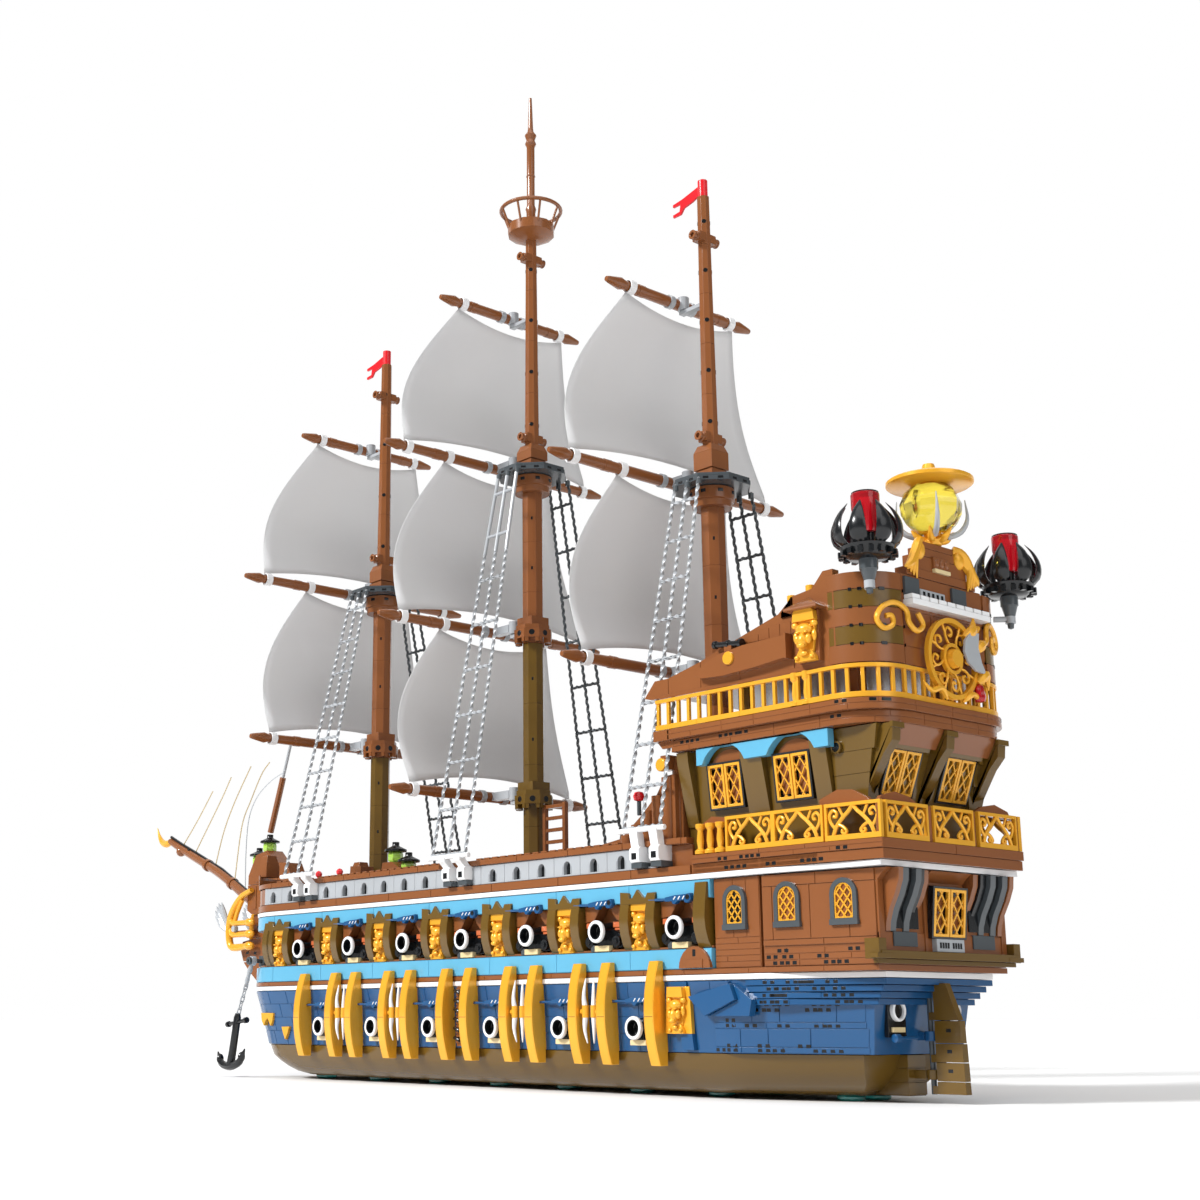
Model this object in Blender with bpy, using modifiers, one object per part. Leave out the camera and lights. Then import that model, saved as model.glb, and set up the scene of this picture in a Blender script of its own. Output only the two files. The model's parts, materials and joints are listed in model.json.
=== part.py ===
"""Toy tall ship, a brick-built galleon model that stands on small clear feet.

+X is the bow, +Y is port, +Z is up. The origin is under the middle of the ship, level with the feet.
Every size below is in millimetres, and MM turns it into metres where a mesh is made.
"""
import math

import bpy
import bmesh
from mathutils import Matrix, Vector

MM = 0.001
GAP = 0.3           # between touching pieces
STUD = 8.0          # the toy's grid
PLATE = 3.2         # one thin course

# Levels above the floor
Z_KEEL = 3.2
Z_BLUE = 24.8
Z_WHITE_LOW = 63.6
Z_BROWN_LOW = 66.8
Z_LIGHT_LOW = 70.0
Z_GUNS = 81.2
Z_LIGHT_UP = 108.5
Z_WHITE_UP = 118.9
Z_DECK = 122.1
Z_PANEL = 127.5
Z_RAIL = 139.7
Z_RAIL_TOP = 143.6

# Hull plan
HULL_HALF = 64.0
BOW_START = 147.0
BOW_REACH = 62.0
STERN_X = -413.5
STERN_HALF = 55.6
STERN_WALL_X = -307.0
STERN_BEND = -341.5    # from here aft the sides turn inwards

# Guns
GUN_PITCH = 64.0
UPPER_GUN_X = 101.0
UPPER_GUN_Z = 92.9
UPPER_GUNS = 7
LOWER_GUN_X = 69.0
LOWER_GUN_Z = 37.8
LOWER_GUNS = 6
GUN_REACH = 70.0

# Stern castle
BALCONY_FRONT = -294.0
BALCONY_BEND = -384.0
BALCONY_REAR = -425.0
BALCONY_HALF = 65.5
BALCONY_REAR_HALF = 62.2
CABIN_FRONT = -278.0
Z_BALCONY = 132.6
Z_BALCONY_RAIL = 152.0
Z_CABIN_TOP = 193.2
GALLERY_FRONT = -266.0
GALLERY_REAR = -427.5
GALLERY_HALF = 65.5
GALLERY_CORNER = 29.0
NET_CLEAR = -277.0     # the castle's floors stop here, behind the mizzen's shrouds
Z_GALLERY = 206.5
Z_GALLERY_RAIL = 225.0
POOP_REAR = -426.0
LANTERN_X = -422.0
POOP_HALF = 62.8

# Masts: place, and the heights of their steps
MASTS = {
    "fore": dict(x=97.4, foot=127.8, olive=239.5, collars=[239.5], round=354.5, top=367.5, cross=396.0,
                 head=565.0, head_cross=537.0, yards=[(41.4, 253.0, 92.5), (35.0, 376.0, 105.8), (24.7, 496.7, 64.0)]),
    "main": dict(x=-84.1, foot=127.8, olive=299.0, collars=[182.5, 299.0], round=409.4, top=421.5, cross=448.0,
                 head=607.0, head_cross=592.0, yards=[(44.8, 195.7, 90.2), (43.0, 314.7, 103.2), (39.0, 438.0, 103.4),
                                    (23.1, 551.6, 67.1)]),
    "mizzen": dict(x=-258.3, foot=127.8, olive=127.8, collars=[], round=357.0, top=369.5, cross=401.0,
                   head=573.0, head_cross=543.0, yards=[(40.0, 257.6, 93.7), (34.6, 382.7, 107.8), (23.4, 503.7, 67.4)]),
}
YARD_NAMES = {"fore": ["lower", "middle", "upper"],
              "main": ["lower", "middle", "topsail", "upper"],
              "mizzen": ["lower", "middle", "upper"]}
SWING_REACH = 20.5     # from a mast's axis forward to the pins on which its yards swing
YARD_RADIUS = 3.8
SAIL_THICK = 1.0

# Rudder and wheel
RUDDER_X = -402.0
RUDDER_BOTTOM = 3.6
RUDDER_TOP = 47.8
HELM_X = -322.0
HELM_Z = 215.6


# Shapes

def material(name, colour, roughness=0.35, metallic=0.0):
    """A plain surface of one colour, given as red, green and blue."""
    mat = bpy.data.materials.get(name)
    if mat is None:
        mat = bpy.data.materials.new(name)
        mat.use_nodes = True
        shader = mat.node_tree.nodes["Principled BSDF"]
        shader.inputs["Base Color"].default_value = (*colour, 1.0)
        shader.inputs["Roughness"].default_value = roughness
        shader.inputs["Metallic"].default_value = metallic
    return mat


def palette():
    """The toy's plastics."""
    return dict(
        brown=material("reddish brown plastic", (0.20, 0.07, 0.035)),
        olive=material("dark tan plastic", (0.19, 0.11, 0.03)),
        blue=material("blue plastic", (0.012, 0.085, 0.33)),
        light=material("light blue plastic", (0.13, 0.52, 0.80)),
        gold=material("gold plastic", (0.85, 0.50, 0.06), 0.3),
        white=material("white plastic", (0.85, 0.85, 0.83)),
        grey=material("light grey plastic", (0.42, 0.43, 0.44)),
        dark=material("dark grey plastic", (0.06, 0.065, 0.07)),
        black=material("black plastic", (0.01, 0.01, 0.012)),
        red=material("red plastic", (0.75, 0.015, 0.02)),
        amber=material("clear yellow plastic", (0.95, 0.80, 0.05), 0.1),
        sail=material("sail film", (0.74, 0.74, 0.75), 0.6),
    )


def mesh_object(name, mesh, mat=None):
    obj = bpy.data.objects.new(name, mesh)
    bpy.context.scene.collection.objects.link(obj)
    if mat is not None:
        obj.data.materials.clear()
        obj.data.materials.append(mat)
    return obj


def from_bmesh(bm, name="piece"):
    mesh = bpy.data.meshes.new(name)
    bmesh.ops.recalc_face_normals(bm, faces=bm.faces)
    bm.to_mesh(mesh)
    bm.free()
    return mesh_object(name, mesh)


def to_mesh(obj):
    """The evaluated shape of a curve or of an object with modifiers, as a plain mesh object."""
    graph = bpy.context.evaluated_depsgraph_get()
    mesh = bpy.data.meshes.new_from_object(obj.evaluated_get(graph))
    bm = bmesh.new()
    bm.from_mesh(mesh)
    bmesh.ops.remove_doubles(bm, verts=bm.verts, dist=0.00001)
    bm.to_mesh(mesh)
    bm.free()
    out = mesh_object(obj.name + "_mesh", mesh)
    out.matrix_world = obj.matrix_world.copy()
    bpy.data.objects.remove(obj)
    return out


def settle(obj):
    """Moves the object's placing into its mesh."""
    obj.data.transform(obj.matrix_world)
    if obj.matrix_world.determinant() < 0:
        obj.data.flip_normals()
    obj.matrix_world = Matrix()
    return obj


def box(x0, x1, y0, y1, z0, z1):
    bm = bmesh.new()
    bmesh.ops.create_cube(bm, size=1.0)
    size = Vector((x1 - x0, y1 - y0, z1 - z0)) * MM
    middle = Vector((x1 + x0, y1 + y0, z1 + z0)) * MM / 2
    bmesh.ops.scale(bm, vec=size, verts=bm.verts)
    bmesh.ops.translate(bm, vec=middle, verts=bm.verts)
    return from_bmesh(bm)


def cone(start, end, r0, r1, sides=16, turn=0.0):
    """A cylinder or cone between two points."""
    a = Vector(start) * MM
    b = Vector(end) * MM
    bm = bmesh.new()
    bmesh.ops.create_cone(bm, cap_ends=True, segments=sides, radius1=r0 * MM, radius2=r1 * MM,
                          depth=(b - a).length)
    bmesh.ops.rotate(bm, cent=(0, 0, 0), matrix=Matrix.Rotation(turn, 3, "Z"), verts=bm.verts)
    lean = (b - a).to_track_quat("Z", "Y").to_matrix()
    bmesh.ops.rotate(bm, cent=(0, 0, 0), matrix=lean, verts=bm.verts)
    bmesh.ops.translate(bm, vec=(a + b) / 2, verts=bm.verts)
    return from_bmesh(bm)


def ball(centre, radius, rings=8, sides=12, squash=1.0):
    bm = bmesh.new()
    bmesh.ops.create_uvsphere(bm, u_segments=sides, v_segments=rings, radius=radius * MM)
    bmesh.ops.scale(bm, vec=(1, 1, squash), verts=bm.verts)
    bmesh.ops.translate(bm, vec=Vector(centre) * MM, verts=bm.verts)
    return from_bmesh(bm)


PLANES = {
    "deck": Matrix(((1, 0, 0), (0, 1, 0), (0, 0, 1))),
    "side": Matrix(((1, 0, 0), (0, 0, -1), (0, 1, 0))),
    "cross": Matrix(((0, 0, 1), (1, 0, 0), (0, 1, 0))),
}


def plate(outlines, lo, hi, plane="deck"):
    """Flat outlines, holes after the first, thick from lo to hi across their plane."""
    curve = bpy.data.curves.new("outline", "CURVE")
    curve.dimensions = "2D"
    curve.fill_mode = "BOTH"
    curve.extrude = (hi - lo) / 2 * MM
    for points in outlines:
        spline = curve.splines.new("POLY")
        spline.points.add(len(points) - 1)
        for point, (u, v) in zip(spline.points, points):
            point.co = (u * MM, v * MM, 0, 1)
        spline.use_cyclic_u = True
    obj = bpy.data.objects.new("outline", curve)
    bpy.context.scene.collection.objects.link(obj)
    across = {"deck": Vector((0, 0, 1)), "side": Vector((0, 1, 0)), "cross": Vector((1, 0, 0))}[plane]
    turn = PLANES[plane].to_4x4()
    obj.matrix_world = Matrix.Translation(across * (lo + hi) / 2 * MM) @ turn
    bpy.context.view_layer.update()
    return settle(to_mesh(obj))


def tube(points, radius, radii=None, resolution=1, cyclic=False):
    """A round bar through the points, with closed ends."""
    curve = bpy.data.curves.new("bar", "CURVE")
    curve.dimensions = "3D"
    curve.bevel_depth = radius * MM
    curve.bevel_resolution = resolution
    curve.use_fill_caps = not cyclic
    spline = curve.splines.new("POLY")
    spline.points.add(len(points) - 1)
    for i, (point, co) in enumerate(zip(spline.points, points)):
        point.co = (*(Vector(co) * MM), 1)
        if radii:
            point.radius = radii[i]
    spline.use_cyclic_u = cyclic
    obj = bpy.data.objects.new("bar", curve)
    bpy.context.scene.collection.objects.link(obj)
    bpy.context.view_layer.update()
    return settle(to_mesh(obj))


def turned(profile, centre, steps=16):
    """A turned shape: the profile's (radius, height) points run from top to bottom."""
    mesh = bpy.data.meshes.new("profile")
    points = [(r * MM, 0, h * MM) for r, h in profile]
    mesh.from_pydata(points, [(i, i + 1) for i in range(len(points) - 1)], [])
    obj = mesh_object("profile", mesh)
    screw = obj.modifiers.new("Turn", "SCREW")
    screw.steps = steps
    screw.render_steps = steps
    screw.use_merge_vertices = True
    screw.merge_threshold = 0.00001
    obj.location = Vector(centre) * MM
    bpy.context.view_layer.update()
    return settle(to_mesh(obj))


def loft(rings):
    """A solid through unlike outlines: each ring is (height, points), with equal numbers of points."""
    bm = bmesh.new()
    rows = []
    for z, points in rings:
        rows.append([bm.verts.new((x * MM, y * MM, z * MM)) for x, y in points])
    for low, high in zip(rows, rows[1:]):
        count = len(low)
        for i in range(count):
            j = (i + 1) % count
            bm.faces.new((low[i], low[j], high[j], high[i]))
    bm.faces.new(rows[0])
    bm.faces.new(rows[-1])
    return from_bmesh(bm)


def combine(first, others, operation):
    """Joins the others to the first, or cuts them from it."""
    group = bpy.data.collections.new("group")
    for obj in others:
        group.objects.link(obj)
    step = first.modifiers.new("Join", "BOOLEAN")
    step.operation = operation
    step.operand_type = "COLLECTION"
    step.collection = group
    step.solver = "EXACT"
    bpy.context.view_layer.update()
    graph = bpy.context.evaluated_depsgraph_get()
    mesh = bpy.data.meshes.new_from_object(first.evaluated_get(graph))
    out = mesh_object("joined", mesh)
    for obj in [first, *others]:
        bpy.data.objects.remove(obj)
    bpy.data.collections.remove(group)
    return out


def fuse(*pieces):
    if len(pieces) == 1:
        return pieces[0]
    return combine(pieces[0], list(pieces[1:]), "UNION")


def carve(body, *cutters):
    return combine(body, list(cutters), "DIFFERENCE")


def mirrored(obj):
    """The same shape on the other side of the ship."""
    copy = mesh_object("mirrored", obj.data.copy())
    copy.data.transform(Matrix.Diagonal((1, -1, 1, 1)))
    copy.data.flip_normals()
    return copy


def both(obj):
    return fuse(obj, mirrored(obj))


def node(name, obj, mat, smooth=False, pivot=None):
    """Names a finished piece, gives it its material and its origin."""
    obj.name = name
    obj.data.name = name
    obj.data.materials.clear()
    obj.data.materials.append(mat)
    for face in obj.data.polygons:
        face.material_index = 0
    if smooth:
        obj.data.shade_smooth()
        obj.data.set_sharp_from_angle(angle=math.radians(35))
    if pivot is not None:
        place = Vector(pivot) * MM
        obj.data.transform(Matrix.Translation(-place))
        obj.location = place
    for group in list(obj.users_collection):
        group.objects.unlink(obj)
    ship_collection().objects.link(obj)
    return obj


def ship_collection():
    name = "Toy tall ship"
    group = bpy.data.collections.get(name)
    if group is None:
        group = bpy.data.collections.new(name)
        bpy.context.scene.collection.children.link(group)
    return group


def arc(cx, cy, radius, start, end, steps):
    """Points on an arc, angles in degrees."""
    points = []
    for i in range(steps + 1):
        a = math.radians(start + (end - start) * i / steps)
        points.append((cx + radius * math.cos(a), cy + radius * math.sin(a)))
    return points


def mirror_outline(half):
    """Closes a half outline on the port side with its other half."""
    other = [(x, -y) for x, y in reversed(half) if abs(y) > 1e-6]
    return half + other


def hull_outline(half, bow_start, reach, stern_x, stern_half=None, steps=9, taper=75.0):
    """The hull in plan: straight sides, an oval bow and a stern that may be narrower over its last taper mm."""
    points = [(stern_x, half if stern_half is None else stern_half)]
    if stern_half is not None and stern_half != half:
        points.append((stern_x + taper if taper > 0 else STERN_BEND, half))
    for i in range(steps + 1):
        a = math.radians(90.0 * i / steps)
        points.append((bow_start + reach * math.sin(a), half * math.cos(a) if i < steps else 0.0))
    return mirror_outline(points)


def bow_wall(outer, inner, front_reach, stern_x, bow_thick, steps=9):
    """A wall along both sides and round the bow, open at its after end."""
    outline = [(stern_x, outer)]
    for i in range(2 * steps + 1):
        a = math.radians(90.0 - 90.0 * i / steps)
        outline.append((BOW_START + front_reach * math.cos(a), outer * math.sin(a)))
    outline.append((stern_x, -outer))
    outline.append((stern_x, -inner))
    for i in range(2 * steps + 1):
        a = math.radians(-90.0 + 90.0 * i / steps)
        outline.append((BOW_START + (front_reach - bow_thick) * math.cos(a), inner * math.sin(a)))
    outline.append((stern_x, inner))
    return outline


# Hull

def build_hull_bottom(mat):
    """The rounded boat bottom, its sternpost and the eight feet."""
    def ring(half, bow_start, reach, stern_x, stern_half):
        return hull_outline(half, bow_start, reach, stern_x, stern_half)
    body = loft([
        (Z_KEEL, ring(44.0, 100.0, 52.0, -368.0, 16.0)),
        (9.0, ring(53.5, 118.0, 53.0, -378.0, 26.0)),
        (17.0, ring(60.0, 128.0, 55.0, -384.0, 34.0)),
        (Z_BLUE - GAP, ring(61.5, 131.0, 56.0, -387.0, 38.0)),
    ])
    post = box(-391.3, -360.0, -7.5, 7.5, Z_KEEL + 0.2, Z_BLUE - GAP - 0.2)
    feet = []
    for x in (126.0, 58.0, -12.0, -78.0, -144.0, -210.0, -274.0, -356.0):
        y = 11.0 if x < -300 else 24.0
        for side in (-1, 1):
            feet.append(cone((x, side * y, 0.0), (x, side * y, Z_KEEL + 1.0), 7.8, 7.8, 16))
    node("hull_bottom", fuse(body, post, gudgeon(-389.0, 12.0), *feet), mat)


def lower_gun(x, side):
    """A short barrel with its muzzle ring on a small plate."""
    barrel = cone((x, side * 58.0, LOWER_GUN_Z), (x, side * GUN_REACH, LOWER_GUN_Z), 5.2, 5.2, 10)
    ring = cone((x, side * (GUN_REACH - 0.5), LOWER_GUN_Z), (x, side * (GUN_REACH + 1.8), LOWER_GUN_Z), 6.4, 6.4, 10)
    rest = box(x - 8.0, x + 8.0, side * 60.0 if side > 0 else -68.5, 68.5 if side > 0 else -60.0, 28.4, 31.4)
    block = box(x - 4.0, x + 4.0, side * 60.0 if side > 0 else -66.5, 66.5 if side > 0 else -60.0, 31.0, 38.0)
    return [barrel, ring, rest, block]


def gold_rib(x, side):
    """A rib that bows out over the blue band, seen from astern as an arc."""
    outer = arc(-8.0, 46.0, 82.0, -20.5, 20.5, 5)
    shape = outer + [(65.2, outer[-1][1]), (65.2, 63.0), (61.0, 63.0), (61.0, 25.2), (62.8, 25.2),
                     (62.8, outer[0][1])]
    if side < 0:
        shape = [(-y, z) for y, z in reversed(shape)]
    return plate([shape], x - 4.0, x + 4.0, "cross")


def build_hull_blue(mat):
    """The blue band with the lower guns, the gold ribs and the stepped counter under the stern."""
    low = hull_outline(62.0, 132.0, 56.0, -394.0, 38.0)
    mid = hull_outline(63.2, 141.0, 60.0, -397.6, 40.5)
    top = hull_outline(HULL_HALF, BOW_START, BOW_REACH - 1.0, -399.0, 40.5)
    pieces = [loft([(Z_BLUE, low), (50.0, mid), (Z_WHITE_LOW - GAP, top)])]
    step = PLATE + 0.2
    for i, (x, half) in enumerate([(-401.3, 41.5), (-404.0, 43.0), (-407.0, 44.6), (-410.2, 46.0)]):
        z = Z_WHITE_LOW - GAP - (4 - i) * step
        shape = mirror_outline([(x, half), (STERN_BEND - 4.0 + i, HULL_HALF - 1.6 + 0.4 * i), (-330.0, 56.0)])
        pieces.append(plate([shape], z, Z_WHITE_LOW - GAP - 0.01 * (4 - i)))
    for side in (-1, 1):
        for i in range(LOWER_GUNS):
            x = LOWER_GUN_X - GUN_PITCH * i
            pieces.extend(lower_gun(x, side))
            pieces.append(gold_rib(x + 24.0, side))
            pieces.append(gold_rib(x - 15.5, side))
    pieces.append(gudgeon(-392.0, 31.5))
    node("hull_blue", fuse(*pieces), mat)


def build_strakes(mats):
    """The coloured bands that ring the hull."""
    low = hull_outline(64.6, BOW_START, BOW_REACH, -410.4, 46.2, taper=0)
    node("white_stripe_lower", plate([low], Z_WHITE_LOW, Z_BROWN_LOW - GAP), mats["white"])
    brown = hull_outline(HULL_HALF, BOW_START, BOW_REACH, STERN_X, STERN_HALF, taper=0)
    node("brown_strake", plate([brown], Z_BROWN_LOW, Z_LIGHT_LOW - GAP), mats["brown"])
    band = hull_outline(HULL_HALF, BOW_START, BOW_REACH, STERN_WALL_X + GAP)
    node("light_blue_strake_lower", plate([band], Z_LIGHT_LOW, Z_GUNS - GAP), mats["light"])
    node("light_blue_strake_upper", plate([band], Z_LIGHT_UP, Z_WHITE_UP - GAP), mats["light"])
    high = hull_outline(64.8, BOW_START, BOW_REACH + 0.6, -421.0, 60.0, taper=0)
    node("white_stripe_upper", plate([high], Z_WHITE_UP, Z_DECK - GAP), mats["white"])


def upper_gun(x, side):
    """A gun on its carriage between the olive posts."""
    barrel = cone((x, side * 50.0, UPPER_GUN_Z), (x, side * (GUN_REACH - 1.5), UPPER_GUN_Z), 5.2, 5.2, 10)
    ring = cone((x, side * (GUN_REACH - 3.0), UPPER_GUN_Z), (x, side * GUN_REACH, UPPER_GUN_Z), 6.6, 6.6, 10)
    y0, y1 = sorted((side * 50.0, side * 63.0))
    carriage = box(x - 11.0, x + 11.0, y0, y1, Z_GUNS + 2.0, UPPER_GUN_Z - 2.0)
    y0, y1 = sorted((side * 50.0, side * 67.5))
    rest = box(x - 8.0, x + 8.0, y0, y1, Z_GUNS + 1.9, Z_GUNS + 4.7)
    return [barrel, ring, carriage, rest]


def build_gun_deck(mat):
    """The set-back gun deck with the upper guns."""
    core = plate([hull_outline(54.0, BOW_START, 54.0, STERN_WALL_X + GAP)], Z_GUNS, Z_LIGHT_UP - GAP)
    guns = []
    for side in (-1, 1):
        for i in range(UPPER_GUNS):
            guns.extend(upper_gun(UPPER_GUN_X - GUN_PITCH * i, side))
        guns.extend(anchor_peg(side))
    node("gun_deck", fuse(core, *guns), mat)


def build_gun_frames(mat):
    """The olive arched frames along the gun deck, with a mask corbel between each two guns."""
    z0 = Z_GUNS + GAP
    z1 = Z_LIGHT_UP - 2 * GAP
    start = STERN_WALL_X + 2 * GAP
    end = 151.0
    outer = [(start, z0), (end, z0), (end, z1), (start, z1)]
    holes = []
    for i in range(UPPER_GUNS):
        x = UPPER_GUN_X - GUN_PITCH * i
        holes.append([(x - 16.0, z0 + 1.2), (x + 16.0, z0 + 1.2), (x + 16.0, z1 - 6.0), (x + 9.0, z1 - 1.5),
                      (x - 9.0, z1 - 1.5), (x - 16.0, z1 - 6.0)])
    wall = plate([outer, *holes], 54.0 + GAP, HULL_HALF - 0.4, "side")
    masks = []
    for i in range(UPPER_GUNS):
        x = UPPER_GUN_X - GUN_PITCH * i + GUN_PITCH / 2
        masks.append(plate([[(x - 6.5, 104.0), (x + 6.5, 104.0), (x + 4.0, 92.0), (x + 4.5, 84.0), (x - 4.5, 84.0),
                             (x - 4.0, 92.0)]], HULL_HALF - 2.0, HULL_HALF + 3.0, "side"))
    port = fuse(wall, *masks)
    starboard = mirrored(port)
    node("gun_frames_port", port, mat)
    node("gun_frames_starboard", starboard, mat)


def build_deck(mat):
    """The brown course that closes the hull and widens under the stern balcony."""
    fore = hull_outline(63.4, BOW_START, BOW_REACH - 1.0, BALCONY_FRONT - 10.0)
    aft = [(BALCONY_REAR + 1.0, BALCONY_REAR_HALF - 1.0), (BALCONY_BEND, BALCONY_HALF - 1.0),
           (BALCONY_FRONT, BALCONY_HALF - 1.0)]
    body = fuse(plate([fore], Z_DECK, Z_PANEL - GAP),
                plate([mirror_outline(aft)], Z_DECK + 0.01, Z_PANEL - GAP - 0.01))
    node("deck", body, mat)


def claw(x, side, foot):
    """One bracket of the shrouds: it leaves the bulwark, leans out and rises to the net's foot."""
    points = [(side * 59.5, 130.0), (side * 69.0, 130.0), (side * 72.0, 140.0), (side * (foot + 1.0), 149.0),
              (side * (foot + 2.5), 156.0), (side * (foot - 2.5), 156.0), (side * (foot - 3.2), 148.0),
              (side * 66.5, 141.5), (side * 59.5, 138.5)]
    if side > 0:
        points.reverse()
    return plate([points], x - 4.0, x + 4.0, "cross")


def build_bulwark(mats):
    """Grey arched panels with the shroud brackets, and the brown rail on top."""
    wall = plate([bow_wall(63.4, 59.4, BOW_REACH - 1.0, BALCONY_FRONT + 2.0, 6.0)], Z_PANEL, Z_RAIL - GAP)
    wall = carve(wall, box(PANEL_END, 230.0, -80.0, 80.0, 120.0, 150.0), box(-400.0, 230.0, -80.0, 0.0, 120.0, 150.0))
    claws = []
    cuts = []
    for x, foot, _ in SHROUDS.values():
        for dx in (-8.5, 8.5):
            claws.append(claw(x + dx, 1, foot))
            for y in (62.0, -67.0):
                cuts.append(box(x + dx - 4.6, x + dx + 4.6, y, y + 5.0, Z_RAIL - 1.0, Z_RAIL_TOP + 1.0))
    port = fuse(wall, *claws)
    starboard = mirrored(port)
    node("bulwark_panels_port", port, mats["grey"])
    node("bulwark_panels_starboard", starboard, mats["grey"])
    rail = plate([bow_wall(65.0, 58.0, BOW_REACH + 0.5, BALCONY_FRONT + 2.0, 8.5)], Z_RAIL, Z_RAIL_TOP)
    node("bulwark_rail", carve(rail, *cuts), mats["brown"])


# The shrouds of each mast: the middle of their feet, how far out the feet stand, and half their width there
SHROUDS = {"fore": (98.2, 71.8, 17.5), "main": (-82.8, 71.8, 17.5), "mizzen": (-258.3, 69.0, 15.0)}
PANEL_END = 157.5      # the grey panels end here, and the bow's wall is brown


# Bow

def bow_lamp(x, top, foot):
    """A small capped lantern on a short post."""
    return turned([(0, top), (3.0, top), (3.4, top - 3.0), (8.4, top - 5.5), (8.4, top - 7.0), (5.6, top - 7.5),
                   (5.6, top - 14.5), (3.5, top - 15.0), (3.5, foot), (0, foot)], (x, 0, 0), 12)


def build_bow(mats):
    """The stem, the raised bow with its ridge, the bowsprit, the lanterns and the gold claws with their wings."""
    stem = plate([[(196.0, 54.0), (236.0, 64.0), (258.0, 72.0), (272.0, 81.0), (282.0, 89.0), (288.0, 101.0),
                   (284.0, 106.0), (268.0, 108.0), (268.0, 127.6), (200.0, 127.6)]], -5.0, 5.0, "side")
    cut = plate([hull_outline(65.1, BOW_START, BOW_REACH + 0.6 + GAP, 100.0)], 20.0, 160.0)
    node("stem", carve(stem, cut), mats["brown"])

    outline = []
    for i in range(19):
        a = math.radians(66.0 - 132.0 * i / 18)
        outline.append((BOW_START + (BOW_REACH + 0.5) * math.cos(a), 65.0 * math.sin(a)))
    block = plate([outline], Z_RAIL_TOP + GAP, 152.0)
    well = plate([[(150.0, 40.0), (150.0, -40.0), (188.0, -34.0), (188.0, 34.0)]], 147.5, 160.0)
    posts = []
    for side in (-1, 1):
        posts.append(loft([(151.0, square(184.0, side * 44.0, 6.0, 6.0)), (168.0, square(182.0, side * 44.0, 4.0, 5.5))]))
    ridge = plate([[(214.0, 127.9), (268.3, 127.9), (274.0, 131.0), (274.0, 160.0), (263.0, 176.7), (246.0, 179.5),
                    (233.0, 168.6), (216.0, 167.4), (200.0, 151.0), (200.0, 144.0), (210.3, 144.0), (210.3, 139.3),
                    (205.0, 139.3), (205.0, 127.9)]], -8.0, 8.0, "side")
    wall = plate([bow_wall(63.4, 59.4, BOW_REACH - 1.0, BALCONY_FRONT + 2.0, 6.0)], Z_PANEL, Z_RAIL - GAP)
    wall = carve(wall, box(-300.0, PANEL_END + GAP, -80.0, 80.0, 120.0, 150.0))
    staff = tube([(254.0, 0, 193.0), (253.5, 0, 196.0), (237.4, 0, 239.6), (225.8, 0, 267.0)], 1.8, None, 1)
    lamps = [bow_lamp(270.0, 183.5, 163.0), bow_lamp(254.0, 193.5, 176.0)]
    node("bow_block", fuse(carve(block, well), *posts, ridge, wall, *lamps, staff), mats["brown"])

    route = [(276.5, 0, 139.6), (290.0, 0, 145.5), (332.0, 0, 166.0), (378.0, 0, 183.5), (405.0, 0, 193.5),
             (425.0, 0, 201.5)]
    sprit = tube(route, 5.0, [1.0, 1.0, 0.88, 0.76, 0.68, 0.55], 2)
    knob = ball((404.0, 0, 190.5), 4.6, 6, 10)
    horn = tube([(424.0, 0, 201.0), (432.0, 0, 199.5), (440.0, 0, 202.0), (446.0, 0, 208.0), (450.6, 0, 216.0)], 2.8,
                [0.9, 1.2, 1.0, 0.8, 0.15], 1)
    node("bowsprit", fuse(sprit, knob, horn), mats["brown"])

    half = []
    for lift in (121.5, 112.0, 103.5):
        half.append(tube([(260.0, 11.6, lift), (282.0, 11.6, lift - 0.5), (294.5, 11.6, lift)], 2.6, [1.3, 1.0, 0.9]))
    half.append(tube([(262.0, 11.4, 147.5), (279.0, 11.4, 142.0), (292.0, 11.4, 130.0), (296.0, 11.4, 117.0),
                      (293.0, 11.4, 101.0)], 3.0, [0.9, 1.0, 1.1, 1.0, 0.8]))
    half.append(plate([[(294.0, 118.0), (298.0, 112.0), (306.0, 124.0), (316.0, 132.0), (312.0, 142.0),
                        (302.0, 134.0)]], 9.6, 12.6, "side"))
    port = fuse(*half)
    bridge = box(276.0, 294.0, -12.0, 12.0, 110.0, 115.0)
    node("figurehead", fuse(port, mirrored(port), bridge), mats["gold"])


def square(cx, cy, hx, hy):
    return [(cx - hx, cy - hy), (cx + hx, cy - hy), (cx + hx, cy + hy), (cx - hx, cy + hy)]


# Stern castle

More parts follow.
